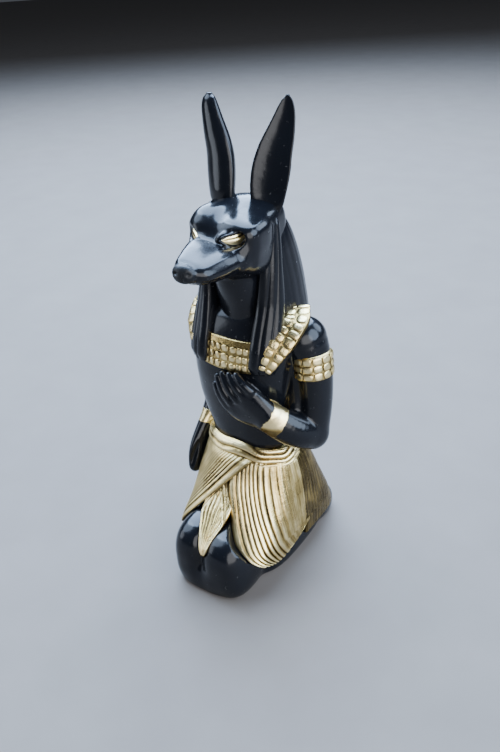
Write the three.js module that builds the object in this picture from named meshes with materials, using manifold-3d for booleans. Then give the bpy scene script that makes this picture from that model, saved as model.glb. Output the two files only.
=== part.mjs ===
// Kneeling jackal-headed figurine, one solid casting, painted black and gold.
// Millimetres. +Z is up, the figure faces -Y and its left hand side is +X.
// The origin is on the underside, in the middle of the footprint.

import * as THREE from 'three';
import * as BufferGeometryUtils from 'three/addons/utils/BufferGeometryUtils.js';
import Module from 'manifold-3d';

const wasm = await Module();
wasm.setup();

// Driving sizes of the whole figure
const HEIGHT = 140;             // underside to the ear tips
const WAIST_Z = 43.5;           // top of the sash
const SASH_FOOT_Z = 37.8;       // where the sash ends and the kilt begins
const CHEST_FRONT = 10.6;       // how far the chest stands in front of the spine line
const SPINE_Y = 1;              // the spine line, the middle of every torso section
const HEAD_TURN = 4;            // degrees the head is turned to the figure's left
const HEAD_PIVOT_Y = 2;         // the head turns about an upright line here
const EAR_HALF_WIDTH = 5.1;
const EAR_OUTWARD = 15;         // degrees each ear is turned outwards
const EAR_BASE_Z = 112;
const KNEE_TOP_Z = 20.8;
const KNEE_FRONT_Y = -30;
const LEFT_KNEE = { middle: 4, halfWidth: 7.9, shorter: 0 };
const RIGHT_KNEE = { middle: -7.9, halfWidth: 6.5, shorter: 0.6 };
const FOOT_BACK_Y = 30.5;
const PLEAT_DEPTH = 0.75;
const NEAR_PLEATS = 14;
const FAR_PLEATS = 10;
const CLOTH_STEP = 1.1;         // how far a cloth edge stands above what it lies on
const COLLAR_LOW_Z = 70.3;
const COLLAR_HIGH_Z = 79.4;
const COLLAR_STEP = 0.9;
const LAPPET_END_Z = 70.6;
const LAPPET_TOP_Z = 113.6;
const LAPPET_RIDGES = 5;
const LAPPET_GROOVE = 0.55;

const DEGREE = Math.PI / 180;
const black = new THREE.MeshStandardMaterial({ color: 0x0d0e10, roughness: 0.12, metalness: 0 });

// A smooth function through [place, value] keys, level beyond both ends
function profile(keys) {
  const slope = keys.map((key, i) => {
    if (i === 0 || i === keys.length - 1) return 0;
    const before = (key[1] - keys[i - 1][1]) / (key[0] - keys[i - 1][0]);
    const after = (keys[i + 1][1] - key[1]) / (keys[i + 1][0] - key[0]);
    return before * after <= 0 ? 0 : (2 * before * after) / (before + after);
  });
  return (place) => {
    if (place <= keys[0][0]) return keys[0][1];
    const last = keys.length - 1;
    if (place >= keys[last][0]) return keys[last][1];
    let i = 0;
    while (place > keys[i + 1][0]) i += 1;
    const span = keys[i + 1][0] - keys[i][0];
    const t = (place - keys[i][0]) / span;
    const rise = keys[i + 1][1] - keys[i][1];
    const blend = t * t * (3 - 2 * t);
    const start = t * (1 - t) * (1 - t) * span * slope[i];
    const end = t * t * (t - 1) * span * slope[i + 1];
    return keys[i][1] + rise * blend + start + end;
  };
}

const mix = (a, b, t) => a + (b - a) * t;
const signedPower = (value, power) => Math.sign(value) * Math.abs(value) ** power;

// A point of an oval: angle 0 is +X, 90 degrees is +Y; front and back depths differ
function ovalPoint(angle, halfWidth, front, back, power) {
  const x = halfWidth * signedPower(Math.cos(angle), 2 / power);
  const depth = Math.sin(angle) < 0 ? front : back;
  const y = depth * signedPower(Math.sin(angle), 2 / power);
  return [x, y];
}

// Turns points and triangles into a solid whose faces point outwards
function solidOf(points, triangles) {
  const vertProperties = new Float32Array(points.flatMap((p) => [p.x, p.y, p.z]));
  let volume = 0;
  for (const [a, b, c] of triangles) {
    volume += points[a].dot(new THREE.Vector3().crossVectors(points[b], points[c]));
  }
  const ordered = volume < 0 ? triangles.map(([a, b, c]) => [a, c, b]) : triangles;
  const triVerts = new Uint32Array(ordered.flat());
  return new wasm.Manifold(new wasm.Mesh({ numProp: 3, vertProperties, triVerts }));
}

// Turns a geometry with open seams into a solid
function solidOfGeometry(geometry) {
  const bare = geometry.clone();
  bare.deleteAttribute('normal');
  bare.deleteAttribute('uv');
  const merged = BufferGeometryUtils.mergeVertices(bare, 1e-4);
  const place = merged.getAttribute('position');
  const points = [];
  for (let i = 0; i < place.count; i += 1) points.push(new THREE.Vector3().fromBufferAttribute(place, i));
  const index = merged.getIndex().array;
  const triangles = [];
  for (let i = 0; i < index.length; i += 3) triangles.push([index[i], index[i + 1], index[i + 2]]);
  return solidOf(points, triangles);
}

// A solid through rings of equal length, each end closed by a fan to its pole
function loft(rings, startPole, endPole) {
  const sides = rings[0].length;
  const points = rings.flat();
  const triangles = [];
  for (let r = 0; r + 1 < rings.length; r += 1) {
    for (let s = 0; s < sides; s += 1) {
      const next = (s + 1) % sides;
      const a = r * sides + s;
      const b = r * sides + next;
      triangles.push([a, b, b + sides], [a, b + sides, a + sides]);
    }
  }
  const middle = (ring) => ring.reduce((sum, p) => sum.add(p), new THREE.Vector3()).divideScalar(sides);
  points.push(startPole ?? middle(rings[0]), endPole ?? middle(rings[rings.length - 1]));
  const first = points.length - 2;
  const lastRing = (rings.length - 1) * sides;
  for (let s = 0; s < sides; s += 1) {
    const next = (s + 1) % sides;
    triangles.push([first, next, s], [first + 1, lastRing + s, lastRing + next]);
  }
  return solidOf(points, triangles);
}

// A limb with rounded ends through stations [x, y, z, half width, half depth]
function limb(stations, across, sides = 9) {
  const centres = stations.map(([x, y, z]) => new THREE.Vector3(x, y, z));
  const frames = centres.map((centre, i) => {
    const before = centres[Math.max(0, i - 1)];
    const after = centres[Math.min(centres.length - 1, i + 1)];
    const along = after.clone().sub(before).normalize();
    const side = across.clone().addScaledVector(along, -across.dot(along)).normalize();
    return { centre, along, side, out: new THREE.Vector3().crossVectors(along, side) };
  });
  const ring = (frame, wide, deep, shift, scale) => {
    const points = [];
    for (let s = 0; s < sides; s += 1) {
      const angle = (2 * Math.PI * s) / sides;
      points.push(frame.centre.clone()
        .addScaledVector(frame.along, shift)
        .addScaledVector(frame.side, wide * scale * Math.cos(angle))
        .addScaledVector(frame.out, deep * scale * Math.sin(angle)));
    }
    return points;
  };
  const last = stations.length - 1;
  const dome = [55, 25];
  const startReach = stations[0][4];
  const endReach = stations[last][4];
  const rings = [];
  for (const lift of dome) {
    const reach = -startReach * Math.sin(lift * DEGREE);
    rings.push(ring(frames[0], stations[0][3], stations[0][4], reach, Math.cos(lift * DEGREE)));
  }
  stations.forEach((station, i) => rings.push(ring(frames[i], station[3], station[4], 0, 1)));
  for (const lift of [...dome].reverse()) {
    const reach = endReach * Math.sin(lift * DEGREE);
    rings.push(ring(frames[last], stations[last][3], stations[last][4], reach, Math.cos(lift * DEGREE)));
  }
  const startPole = centres[0].clone().addScaledVector(frames[0].along, -startReach);
  const endPole = centres[last].clone().addScaledVector(frames[last].along, endReach);
  return loft(rings, startPole, endPole);
}

// An ellipsoid at a place, turned about Z and then tilted about X, in degrees
function egg(place, radii, turn = 0, tilt = 0, detail = 10) {
  const geometry = new THREE.SphereGeometry(1, detail, Math.round(detail * 0.7));
  geometry.scale(...radii);
  geometry.rotateX(tilt * DEGREE);
  geometry.rotateZ(turn * DEGREE);
  geometry.translate(...place);
  return solidOfGeometry(geometry);
}

// A raised patch: its outer face over a grid of u and v, its rim turned in to the inner face,
// and the inside closed to a pole that lies within the form it stands on
function patch(outer, inner, columns, rows, pole) {
  const points = [];
  for (let j = 0; j <= rows; j += 1) {
    for (let i = 0; i <= columns; i += 1) points.push(outer(i / columns, j / rows));
  }
  const at = (i, j) => j * (columns + 1) + i;
  const triangles = [];
  for (let j = 0; j < rows; j += 1) {
    for (let i = 0; i < columns; i += 1) {
      const [a, b, c, d] = [at(i, j), at(i + 1, j), at(i + 1, j + 1), at(i, j + 1)];
      triangles.push([a, b, c], [a, c, d]);
    }
  }
  const rim = [];
  for (let i = 0; i < columns; i += 1) rim.push([i, 0]);
  for (let j = 0; j < rows; j += 1) rim.push([columns, j]);
  for (let i = columns; i > 0; i -= 1) rim.push([i, rows]);
  for (let j = rows; j > 0; j -= 1) rim.push([0, j]);
  const firstInner = points.length;
  for (const [i, j] of rim) points.push(inner(i / columns, j / rows));
  const poleAt = points.length;
  points.push(pole);
  rim.forEach(([i, j], r) => {
    const next = (r + 1) % rim.length;
    const [a, b] = [at(i, j), at(...rim[next])];
    const [c, d] = [firstInner + r, firstInner + next];
    triangles.push([a, c, d], [a, d, b], [c, poleAt, d]);
  });
  return solidOf(points, triangles);
}

const joinAll = (solids) => solids.reduce((whole, solid) => whole.add(solid));

// Torso, from inside the sash up to the neck
const torsoWidth = profile([
  [34, 14.2], [43.5, 13.4], [50, 15.6], [58, 17.4], [67, 17.9], [77, 17.6], [83, 14.6], [87, 9],
]);
const torsoFront = profile([
  [34, 9], [43.5, 8.6], [50, 9], [58, 9.8], [70, CHEST_FRONT], [79, 8.8], [83, 7.4], [87, 5],
]);
const torsoBack = profile([
  [34, 11], [43.5, 9.4], [52, 9.6], [62, 11], [74, 12.4], [82, 11], [87, 7],
]);
const TORSO_POWER = 2.3;

function torsoPoint(angle, z, lift = 0) {
  const front = torsoFront(z) + lift;
  const back = torsoBack(z) + lift;
  const [x, y] = ovalPoint(angle, torsoWidth(z) + lift, front, back, TORSO_POWER);
  return new THREE.Vector3(x, SPINE_Y + y, z);
}

function torso() {
  const levels = [34, 41, 47, 53, 59, 65, 71, 76, 80, 83.5, 86.5];
  const sides = 20;
  const rings = levels.map((z) => {
    const ring = [];
    for (let s = 0; s < sides; s += 1) ring.push(torsoPoint((2 * Math.PI * s) / sides, z));
    return ring;
  });
  return loft(rings);
}

const UP = new THREE.Vector3(0, 0, 1);
const SIDEWAYS = new THREE.Vector3(1, 0, 0);

// The left arm, bent across the belly with its hand flat on the chest
const LEFT_SHOULDER = [16.8, 3, 77.5];
const LEFT_ELBOW = [20.1, 0.4, 48.6];
const LEFT_WRIST = [9.6, -9.4, 56.2];
const HAND_ALONG = new THREE.Vector3(-0.68, -0.06, 0.73).normalize();
const HAND_OUT = new THREE.Vector3(0.12, -0.96, 0.18).normalize();
const HAND_ACROSS = new THREE.Vector3().crossVectors(HAND_OUT, HAND_ALONG).normalize();
const PALM_LENGTH = 8;
const FINGER_LENGTHS = [8.2, 10.2, 10.6, 9.2];
const FINGER_PITCH = 2.25;
const FINGER_RADIUS = 1.35;

function leftArm() {
  const upper = limb([
    [...LEFT_SHOULDER, 6.2, 6.6],
    [19.9, 2.8, 69.5, 4.7, 5.4],
    [20.5, 2, 59, 4.6, 5.2],
    [...LEFT_ELBOW, 4.5, 4.8],
  ], SIDEWAYS);
  const fore = limb([
    [...LEFT_ELBOW, 4.6, 4.7],
    [15.6, -5.2, 51.6, 4.6, 4.4],
    [...LEFT_WRIST, 4, 3.4],
    [6.5, -9.9, 59.6, 4, 2.6],
  ], UP);
  const wrist = new THREE.Vector3(...LEFT_WRIST);
  const palmEnd = wrist.clone().addScaledVector(HAND_ALONG, PALM_LENGTH + 2);
  const palm = limb([
    [...wrist.toArray(), 3.9, 3.2],
    [...wrist.clone().lerp(palmEnd, 0.5).toArray(), 4.6, 2.6],
    [...palmEnd.toArray(), 4.5, 1.9],
  ], HAND_ACROSS);
  const fingers = FINGER_LENGTHS.map((length, i) => {
    const sideways = (i - 1.5) * FINGER_PITCH;
    const root = wrist.clone().addScaledVector(HAND_ALONG, PALM_LENGTH);
    root.addScaledVector(HAND_ACROSS, sideways).addScaledVector(HAND_OUT, 0.9 - 0.05 * sideways * sideways);
    const tip = root.clone().addScaledVector(HAND_ALONG, length - FINGER_RADIUS);
    tip.addScaledVector(HAND_OUT, -0.5).addScaledVector(HAND_ACROSS, -0.25 * (i - 1.5));
    return limb([
      [...root.toArray(), FINGER_RADIUS, FINGER_RADIUS],
      [...tip.toArray(), FINGER_RADIUS * 0.9, FINGER_RADIUS * 0.9],
    ], HAND_ACROSS, 7);
  });
  const web = limb([
    [14.5, 2.5, 76, 5, 5.5],
    [15.5, 1.4, 64, 4.6, 4.6],
    [15, 0, 54, 4.4, 4.6],
  ], SIDEWAYS);
  return [upper, fore, palm, web, ...fingers];
}

// The right arm hangs down with its hand beside the thigh
const RIGHT_SHOULDER = [-14.9, 6, 77];
const RIGHT_ELBOW = [-17.6, 11.6, 55.5];
const RIGHT_WRIST = [-18.7, 5, 42.5];
const RIGHT_FINGERTIP = [-20.4, -4.4, 25.6];

function rightArm() {
  const upper = limb([
    [...RIGHT_SHOULDER, 5.8, 6.4],
    [-16.8, 8.2, 68, 4.8, 5.4],
    [...RIGHT_ELBOW, 4.4, 4.7],
  ], SIDEWAYS);
  const fore = limb([
    [...RIGHT_ELBOW, 4.4, 4.5],
    [-18.2, 9, 49.5, 4.1, 4.2],
    [...RIGHT_WRIST, 3.2, 3.4],
  ], SIDEWAYS);
  const hand = limb([
    [...RIGHT_WRIST, 2.8, 3.4],
    [-19.9, 1.2, 36, 2.4, 4.2],
    [-20.8, -2.4, 30, 2.3, 3.9],
    [...RIGHT_FINGERTIP, 1.8, 2.4],
  ], SIDEWAYS);
  return [upper, fore, hand];
}

// A ring of raised blocks round a straight stretch of the upper arm
const BAND_HEIGHT = 8.6;
const BAND_LIFT = 0.85;
const BAND_GROOVE = 0.35;

function armband(centre, along, wide, deep, blocks = 8, rows = 3) {
  const side = SIDEWAYS.clone().addScaledVector(along, -SIDEWAYS.dot(along)).normalize();
  const out = new THREE.Vector3().crossVectors(along, side);
  const perBlock = 3;
  const steps = blocks * perBlock;
  const rise = BAND_HEIGHT / rows;
  const ring = (level, lift, groove) => {
    const points = [];
    for (let s = 0; s < steps; s += 1) {
      const angle = (2 * Math.PI * s) / steps;
      const raised = lift - (s % perBlock === 0 ? groove : 0);
      points.push(centre.clone()
        .addScaledVector(along, level)
        .addScaledVector(side, (wide + raised) * Math.cos(angle))
        .addScaledVector(out, (deep + raised) * Math.sin(angle)));
    }
    return points;
  };
  const low = -BAND_HEIGHT / 2;
  const rings = [ring(low, -BAND_LIFT, 0)];
  for (let row = 0; row < rows; row += 1) {
    const base = low + row * rise;
    rings.push(ring(base + 0.25, BAND_LIFT - BAND_GROOVE, 0));
    rings.push(ring(base + 0.7, BAND_LIFT, BAND_GROOVE));
    rings.push(ring(base + rise - 0.4, BAND_LIFT, BAND_GROOVE));
  }
  rings.push(ring(low + BAND_HEIGHT, -BAND_LIFT, 0));
  return loft(rings);
}

// The sash round the waist, in level folds that sag a little
const SASH_FOLDS = 3;
const SASH_LIFT = 1.45;
const SASH_FOLD_DEPTH = 0.8;

function sash() {
  const sides = 26;
  const perFold = 3;
  const rows = SASH_FOLDS * perFold;
  const ring = (z, lift) => {
    const points = [];
    for (let s = 0; s < sides; s += 1) {
      const angle = (2 * Math.PI * s) / sides;
      const sag = 0.35 * Math.sin(3 * angle + 0.6) + 0.2 * Math.sin(7 * angle);
      points.push(torsoPoint(angle, z + sag, lift));
    }
    return points;
  };
  const rings = [ring(SASH_FOOT_Z - 1, -1.5)];
  for (let row = 0; row <= rows; row += 1) {
    const z = mix(SASH_FOOT_Z - 0.6, WAIST_Z, row / rows);
    rings.push(ring(z, SASH_LIFT - (row % perFold === 0 ? SASH_FOLD_DEPTH : 0)));
  }
  rings.push(ring(WAIST_Z + 0.2, -1.5));
  return loft(rings);
}

// The kilt: its outline at each level, square towards the hem and oval at the waist
const kiltWidth = profile([[7, 17.9], [14, 18.2], [24, 17.8], [32, 17], [37, 15.8], [40, 14.4]]);
const kiltFront = profile([
  [7, -25.6], [13, -23], [20, -18.6], [27, -14.8], [33, -11.8], [38, -9.6], [40, -8],
]);
const kiltBack = profile([[7, 25.6], [14, 22.8], [24, 19.8], [32, 17.5], [37, 14.8], [40, 10.5]]);
const kiltPower = profile([[7, 5], [14, 4.8], [20, 3.8], [27, 2.8], [36, 2.25]]);
const KILT_MIDDLE_Y = 3;
const KILT_TOP_Z = 39.6;
const SLIT_Y = 0.5;             // the side slits between the front and back panels
const SLIT_OVERLAP = 1.4;
const CLOTH_THICK = 2.2;
const KILT_POLE = new THREE.Vector3(0, KILT_MIDDLE_Y, 26);

const outlines = new Map();

// Half the outline at one level as a polyline with running lengths, from the front middle
function kiltOutline(z) {
  const key = z.toFixed(3);
  if (outlines.has(key)) return outlines.get(key);
  const halfSteps = 120;
  const front = KILT_MIDDLE_Y - kiltFront(z);
  const back = kiltBack(z) - KILT_MIDDLE_Y;
  const points = [];
  for (let s = 0; s <= halfSteps; s += 1) {
    const angle = -Math.PI / 2 + (Math.PI * s) / halfSteps;
    const [x, y] = ovalPoint(angle, kiltWidth(z), front, back, kiltPower(z));
    points.push([x, KILT_MIDDLE_Y + y]);
  }
  const lengths = [0];
  let slit = 0;
  for (let s = 1; s <= halfSteps; s += 1) {
    const [ax, ay] = points[s - 1];
    const [bx, by] = points[s];
    lengths.push(lengths[s - 1] + Math.hypot(bx - ax, by - ay));
    if (by < SLIT_Y) slit = lengths[s];
  }
  const outline = { points, lengths, half: lengths[halfSteps], slit };
  outlines.set(key, outline);
  return outline;
}

// A point at a running length along the outline, lifted outwards; negative lengths are on the right
function kiltPoint(z, run, lift = 0) {
  const { points, lengths, half } = kiltOutline(z);
  const reach = Math.min(Math.abs(run), half - 1e-6);
  let s = 0;
  while (lengths[s + 1] < reach) s += 1;
  const t = (reach - lengths[s]) / (lengths[s + 1] - lengths[s]);
  const [ax, ay] = points[s];
  const [bx, by] = points[s + 1];
  const length = Math.hypot(bx - ax, by - ay);
  const x = mix(ax, bx, t) + (lift * (by - ay)) / length;
  const y = mix(ay, by, t) - (lift * (bx - ax)) / length;
  return new THREE.Vector3(run < 0 ? -x : x, y, z);
}

// Height of the hem from the opening (0) to the side slit (1), and round the back
const nearHem = profile([[0, 11.2], [0.15, 10.6], [0.4, 9.8], [0.75, 11.2], [1, 13.6]]);
const farHem = profile([[0, 13.4], [0.3, 12.4], [1, 13.6]]);
const backHem = profile([[0, 8.2], [0.3, 7.4], [0.5, 8.6]]);
// How far a pleat beside the opening has swept from its top to its foot, by its drop
const nearSweep = profile([
  [0, 0], [0.3, 0.005], [0.47, 0.09], [0.67, 0.19], [0.835, 0.37], [0.91, 0.59], [0.97, 0.84], [1, 1],
]);
const NEAR_TOP_RUN = -2.4;      // where the near edge of the opening starts and ends
const NEAR_FOOT_RUN = 15.6;
const FAR_TOP_RUN = 6;          // the far panel crosses over the near one at the top
const FAR_FOOT_RUN = -18;

// Running length of a pleat: share 0 is the opening's edge and share 1 the side slit
function nearRun(share, drop, z) {
  const slitTop = kiltOutline(KILT_TOP_Z).slit;
  const slitFoot = kiltOutline(nearHem(1)).slit;
  const top = mix(NEAR_TOP_RUN, slitTop, share);
  const foot = mix(NEAR_FOOT_RUN, slitFoot, share);
  const slitSweep = (kiltOutline(z).slit - slitTop) / (slitFoot - slitTop);
  return mix(top, foot, mix(nearSweep(drop), slitSweep, share ** 0.8));
}

function farRun(share, drop, z) {
  const slitTop = kiltOutline(KILT_TOP_Z).slit;
  const slitFoot = kiltOutline(farHem(1)).slit;
  const top = mix(FAR_TOP_RUN, -slitTop, share);
  const foot = mix(FAR_FOOT_RUN, -slitFoot, share ** 1.15);
  const slitSweep = (kiltOutline(z).slit - slitTop) / (slitFoot - slitTop);
  return mix(top, foot, mix(drop, slitSweep, share));
}

// A panel of pleats: two columns a pleat, a sharp valley and a round crest
function pleatedPanel(pleats, run, hem, depth, lift) {
  const crest = 0.42;
  const columns = pleats * 2;
  const rows = 9;
  const drop = (v) => 1 - (1 - v) ** 1.5;
  const at = (u, v, rise) => {
    const column = Math.round(u * columns);
    const share = Math.min(1, ((column - (column % 2)) / 2 + (column % 2) * crest) / pleats);
    const z = mix(KILT_TOP_Z, hem(share), drop(v));
    return kiltPoint(z, run(share, drop(v), z), rise(column, v));
  };
  const outer = (column, v) => {
    if (column % 2 === 1 || column === 0) return lift;
    return lift - depth * Math.min(1, v * 5, 0.25 + (1 - v) * 3);
  };
  const inner = (u, v) => at(u, v, () => -CLOTH_THICK);
  return patch((u, v) => at(u, v, outer), inner, columns, rows, KILT_POLE);
}

function kilt() {
  const near = pleatedPanel(NEAR_PLEATS, nearRun, nearHem, PLEAT_DEPTH, 0);
  const far = pleatedPanel(FAR_PLEATS, farRun, farHem, PLEAT_DEPTH * 0.6, CLOTH_STEP * 0.6);
  const at = (u, v, lift) => {
    const z = mix(KILT_TOP_Z, backHem(Math.min(u, 1 - u)), v);
    const { slit, half } = kiltOutline(z);
    const run = mix(slit - SLIT_OVERLAP, 2 * half - slit + SLIT_OVERLAP, u);
    return kiltPoint(z, run > half ? run - 2 * half : run, lift);
  };
  const backColumns = 16;
  const fold = (u) => (Math.round(u * backColumns) % 2 === 0 ? 0.2 : 0);
  const outer = (u, v) => at(u, v, fold(u) - 0.3);
  const back = patch(outer, (u, v) => at(u, v, -CLOTH_THICK), backColumns, 7, KILT_POLE);
  const coreSides = 20;
  const inset = profile([[9, 5], [12, 3], [16, CLOTH_THICK - 0.5]]);
  const core = [KILT_TOP_Z, 36, 31, 26, 21, 16, 12, 9].map((z) => {
    const ring = [];
    for (let s = 0; s < coreSides; s += 1) {
      const run = kiltOutline(z).half * ((2 * s) / coreSides - 1);
      ring.push(kiltPoint(z, run, -inset(z)));
    }
    return ring;
  });
  return [loft(core), near, far, back];
}

// The pointed tongue of cloth that hangs between the edges, over the knees
const tongueX = profile([[0, -3], [0.5, -3.2], [1, -1.3]]);
const tongueY = profile([[0, -10.6], [0.3, -14.4], [0.5, -19.6], [0.8, -26.2], [1, -29]]);
const tongueZ = profile([[0, 31], [0.3, 26.4], [0.5, 23], [0.75, 19.3], [0.9, 16.9], [1, 14.8]]);
const tongueHalf = profile([[0, 4.6], [0.35, 5], [0.6, 4], [0.9, 1.9], [1, 0.9]]);

function tongue() {
  const grooves = 4;
  const columns = grooves * 2;
  const at = (u, v, lift) => {
    const across = (u * 2 - 1) * tongueHalf(v);
    const round = 0.05 * across * across;
    return new THREE.Vector3(tongueX(v) + across, tongueY(v) - 0.5 * lift, tongueZ(v) - round + lift);
  };
  const outer = (u, v) => at(u, v, Math.round(u * columns) % 2 === 0 ? 0.2 : 0.6);
  const pole = new THREE.Vector3(-2.6, -17, 17);
  return patch(outer, (u, v) => at(u, v, -2.4), columns, 7, pole);
}

// Legs: two rounded knees in front, the shins and feet under the kilt
const kneeWide = profile([
  [0, 0.3], [0.03, 0.64], [0.1, 0.86], [0.22, 1], [0.36, 0.97], [0.6, 0.75], [1, 0.7],
]);
const kneeTop = profile([
  [0, 10.4], [0.03, 13.4], [0.085, 16], [0.16, 18.6], [0.26, 20.3], [0.42, KNEE_TOP_Z], [1, 27],
]);
const kneeLow = profile([[0, 6], [0.03, 2.8], [0.08, -0.2], [0.2, -2.2], [1, -3]]);
const KNEE_BACK_Y = 2;
const KNEE_NOSE_Z = 8.2;
const KNEE_SQUARENESS = 2.7;

function knee({ middle, halfWidth, shorter }) {
  const sides = 18;
  const front = KNEE_FRONT_Y + shorter;
  const rings = [0.01, 0.035, 0.085, 0.16, 0.27, 0.42, 0.65, 1].map((t) => {
    const centre = (kneeTop(t) + kneeLow(t)) / 2;
    const ring = [];
    for (let s = 0; s < sides; s += 1) {
      const angle = (2 * Math.PI * s) / sides;
      const reach = kneeTop(t) - centre;
      const [x, up] = ovalPoint(angle, kneeWide(t) * halfWidth, reach, reach, KNEE_SQUARENESS);
      ring.push(new THREE.Vector3(middle + x, mix(front, KNEE_BACK_Y, t), centre + up));
    }
    return ring;
  });
  return loft(rings, new THREE.Vector3(middle, front, KNEE_NOSE_Z));
}

const shinWide = profile([[-18, 8.6], [-12, 10.6], [-8, 12.6], [0, 13.4], [9, 15.6], [18, 15.4], [23, 13]]);
const shinTop = profile([[-18, 12], [0, 16], [16, 14.6], [23, 11]]);
const FOOT_RADII = [7.4, 9.6, 6.6];

function shins() {
  const sides = 16;
  const middle = 4;
  const rings = [-18, -12, -8, 0, 9, 17, 23].map((y) => {
    const ring = [];
    for (let s = 0; s < sides; s += 1) {
      const angle = (2 * Math.PI * s) / sides;
      const [x, up] = ovalPoint(angle, shinWide(y), 6, shinTop(y) - middle, 2.8);
      ring.push(new THREE.Vector3(x, y, middle + up));
    }
    return ring;
  });
  return loft(rings);
}

function foot(side) {
  return egg([side * 7.3, FOOT_BACK_Y - FOOT_RADII[1], 3.2], FOOT_RADII, side * -4, 0, 12);
}

// Head, in its own frame, turned a little to the figure's left once it is whole
const skullTop = profile([
  [-29, 107.6], [-27.6, 108.6], [-25, 109.3], [-18, 109.9], [-14.4, 110.6], [-12, 112.2], [-8.8, 114],
  [-3, 115.7], [4, 116.2], [10, 115.2],
]);
const skullLow = profile([
  [-29, 106], [-27.6, 104.9], [-22, 104], [-16, 102.8], [-11, 100], [-4, 97], [10, 97],
]);
const skullWide = profile([
  [-29, 2], [-27.6, 3.7], [-25, 4.5], [-21, 5.2], [-17, 6], [-13.5, 7], [-10, 8.5], [-3, 9.2], [10, 8.8],
]);
const skullSquareness = profile([[-29, 2.4], [-14, 2.6], [-10, 3.3], [-3, 2.9], [8, 2.5]]);
// The two swellings of the forehead beside its furrow, highest over the eyes
const browLift = profile([[-13.8, 0], [-12, 2.1], [-10.4, 2.9], [-7, 2.2], [-1, 0.8], [5, 0]]);
const BROW_MIDDLE = 4.8;
const BROW_SPREAD = 2.8;
const foreheadRise = (x, y) => browLift(y) * Math.exp(-(((Math.abs(x) - BROW_MIDDLE) / BROW_SPREAD) ** 2));
const jawLow = profile([[-27.2, 104], [-26.2, 103], [-22, 101.8], [-16, 100.4], [-8, 98]]);
const jawWide = profile([[-27.2, 1.8], [-26.2, 3.2], [-22, 4.4], [-16, 5.4], [-8, 6.6]]);

function alongHead(levels, wide, low, high, power, sides, rise = () => 0) {
  const rings = levels.map((y) => {
    const middle = (low(y) + high(y)) / 2;
    const half = (high(y) - low(y)) / 2;
    const ring = [];
    for (let s = 0; s < sides; s += 1) {
      const angle = (2 * Math.PI * s) / sides;
      const [x, up] = ovalPoint(angle, wide(y), half, half, power(y));
      ring.push(new THREE.Vector3(x, y, middle + up + (up > 0 ? rise(x, y) : 0)));
    }
    return ring;
  });
  return loft(rings);
}

const earWide = profile([
  [0, 3], [0.14, 4.4], [0.38, EAR_HALF_WIDTH], [0.6, 4.5], [0.8, 3.1], [0.9, 2.2], [0.96, 1.4], [1, 0.5],
]);

function ear(side) {
  const tip = side > 0 ? [10.1, 8.8] : [-11.6, 7.4];
  const rise = HEIGHT - EAR_BASE_Z;
  const middleX = profile([[0, side * 6.8], [0.45, side * 7.6], [1, tip[0]]]);
  const middleY = profile([[0, 3.2], [0.45, 5.4], [1, tip[1]]]);
  const turn = side * EAR_OUTWARD * DEGREE;
  const half = 4;
  const rings = [0, 0.14, 0.3, 0.46, 0.62, 0.76, 0.87, 0.94, 0.98, 1].map((t) => {
    const wide = earWide(t);
    const back = 0.62 * wide;
    const hollow = 0.4 * wide * Math.min(1, t * 5);
    const rim = 0.16 * wide + 0.25;
    const ring = [];
    const section = (u, v) => {
      const x = u * Math.cos(turn) - v * Math.sin(turn);
      const y = u * Math.sin(turn) + v * Math.cos(turn);
      ring.push(new THREE.Vector3(middleX(t) + x, middleY(t) + y - back * 0.5, EAR_BASE_Z + rise * t));
    };
    for (let s = 0; s <= 2 * half; s += 1) {
      const u = Math.cos((Math.PI * s) / (2 * half));
      section(u * wide, back * (1 - u * u) + rim * Math.sqrt(1 - u * u));
    }
    for (let s = 1; s < 2 * half; s += 1) {
      const u = -Math.cos((Math.PI * s) / (2 * half));
      section(u * wide, hollow * (1 - u * u) - rim * Math.sqrt(1 - u * u));
    }
    return ring;
  });
  return loft(rings);
}

function head() {
  const skullLevels = [-29, -27.6, -25, -21, -17, -14.4, -12.8, -10.8, -8, -4, 1, 6, 10];
  const jawLevels = [-27.2, -26.2, -23, -19, -14, -8];
  const forms = [
    alongHead(skullLevels, skullWide, skullLow, skullTop, skullSquareness, 20, foreheadRise),
    alongHead(jawLevels, jawWide, jawLow, skullTop, () => 2.3, 12),
    egg([0, -27, 107.2], [3.5, 2.5, 2.2]),
  ];
  for (const side of [-1, 1]) {
    forms.push(egg([side * 5.3, -11, 109.3], [3.6, 2, 1.5], side * 50, 0, 8), ear(side));
  }
  const whole = joinAll(forms);
  const turned = whole.translate([0, -HEAD_PIVOT_Y, 0]).rotate([0, 0, HEAD_TURN]);
  return turned.translate([0, HEAD_PIVOT_Y, 0]);
}

// The headcloth: a hood round the back of the head and neck
const hoodWide = profile([
  [74, 12.4], [82, 13.7], [90, 12.9], [98, 11.8], [107, 10.3], [112, 8.4], [115.4, 4.4],
]);
const hoodFront = profile([[74, -1], [82, -3.6], [98, -4.2], [107, -3.6], [112, -1.4], [115.4, 1]]);
const hoodBack = profile([
  [74, 15.6], [76, 17.4], [82, 18.8], [90, 18.4], [98, 17], [107, 14.4], [112, 11.4], [115.4, 8],
]);

function hood() {
  const sides = 18;
  const rings = [74, 76, 82, 89, 96, 103, 108, 112, 114.4, 115.4].map((z) => {
    const middle = (hoodFront(z) + hoodBack(z)) / 2;
    const half = (hoodBack(z) - hoodFront(z)) / 2;
    const ring = [];
    for (let s = 0; s < sides; s += 1) {
      const angle = (2 * Math.PI * s) / sides;
      const [x, y] = ovalPoint(angle, hoodWide(z), half, half, 2.5);
      ring.push(new THREE.Vector3(x, middle + y, z));
    }
    return ring;
  });
  return loft(rings);
}

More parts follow.
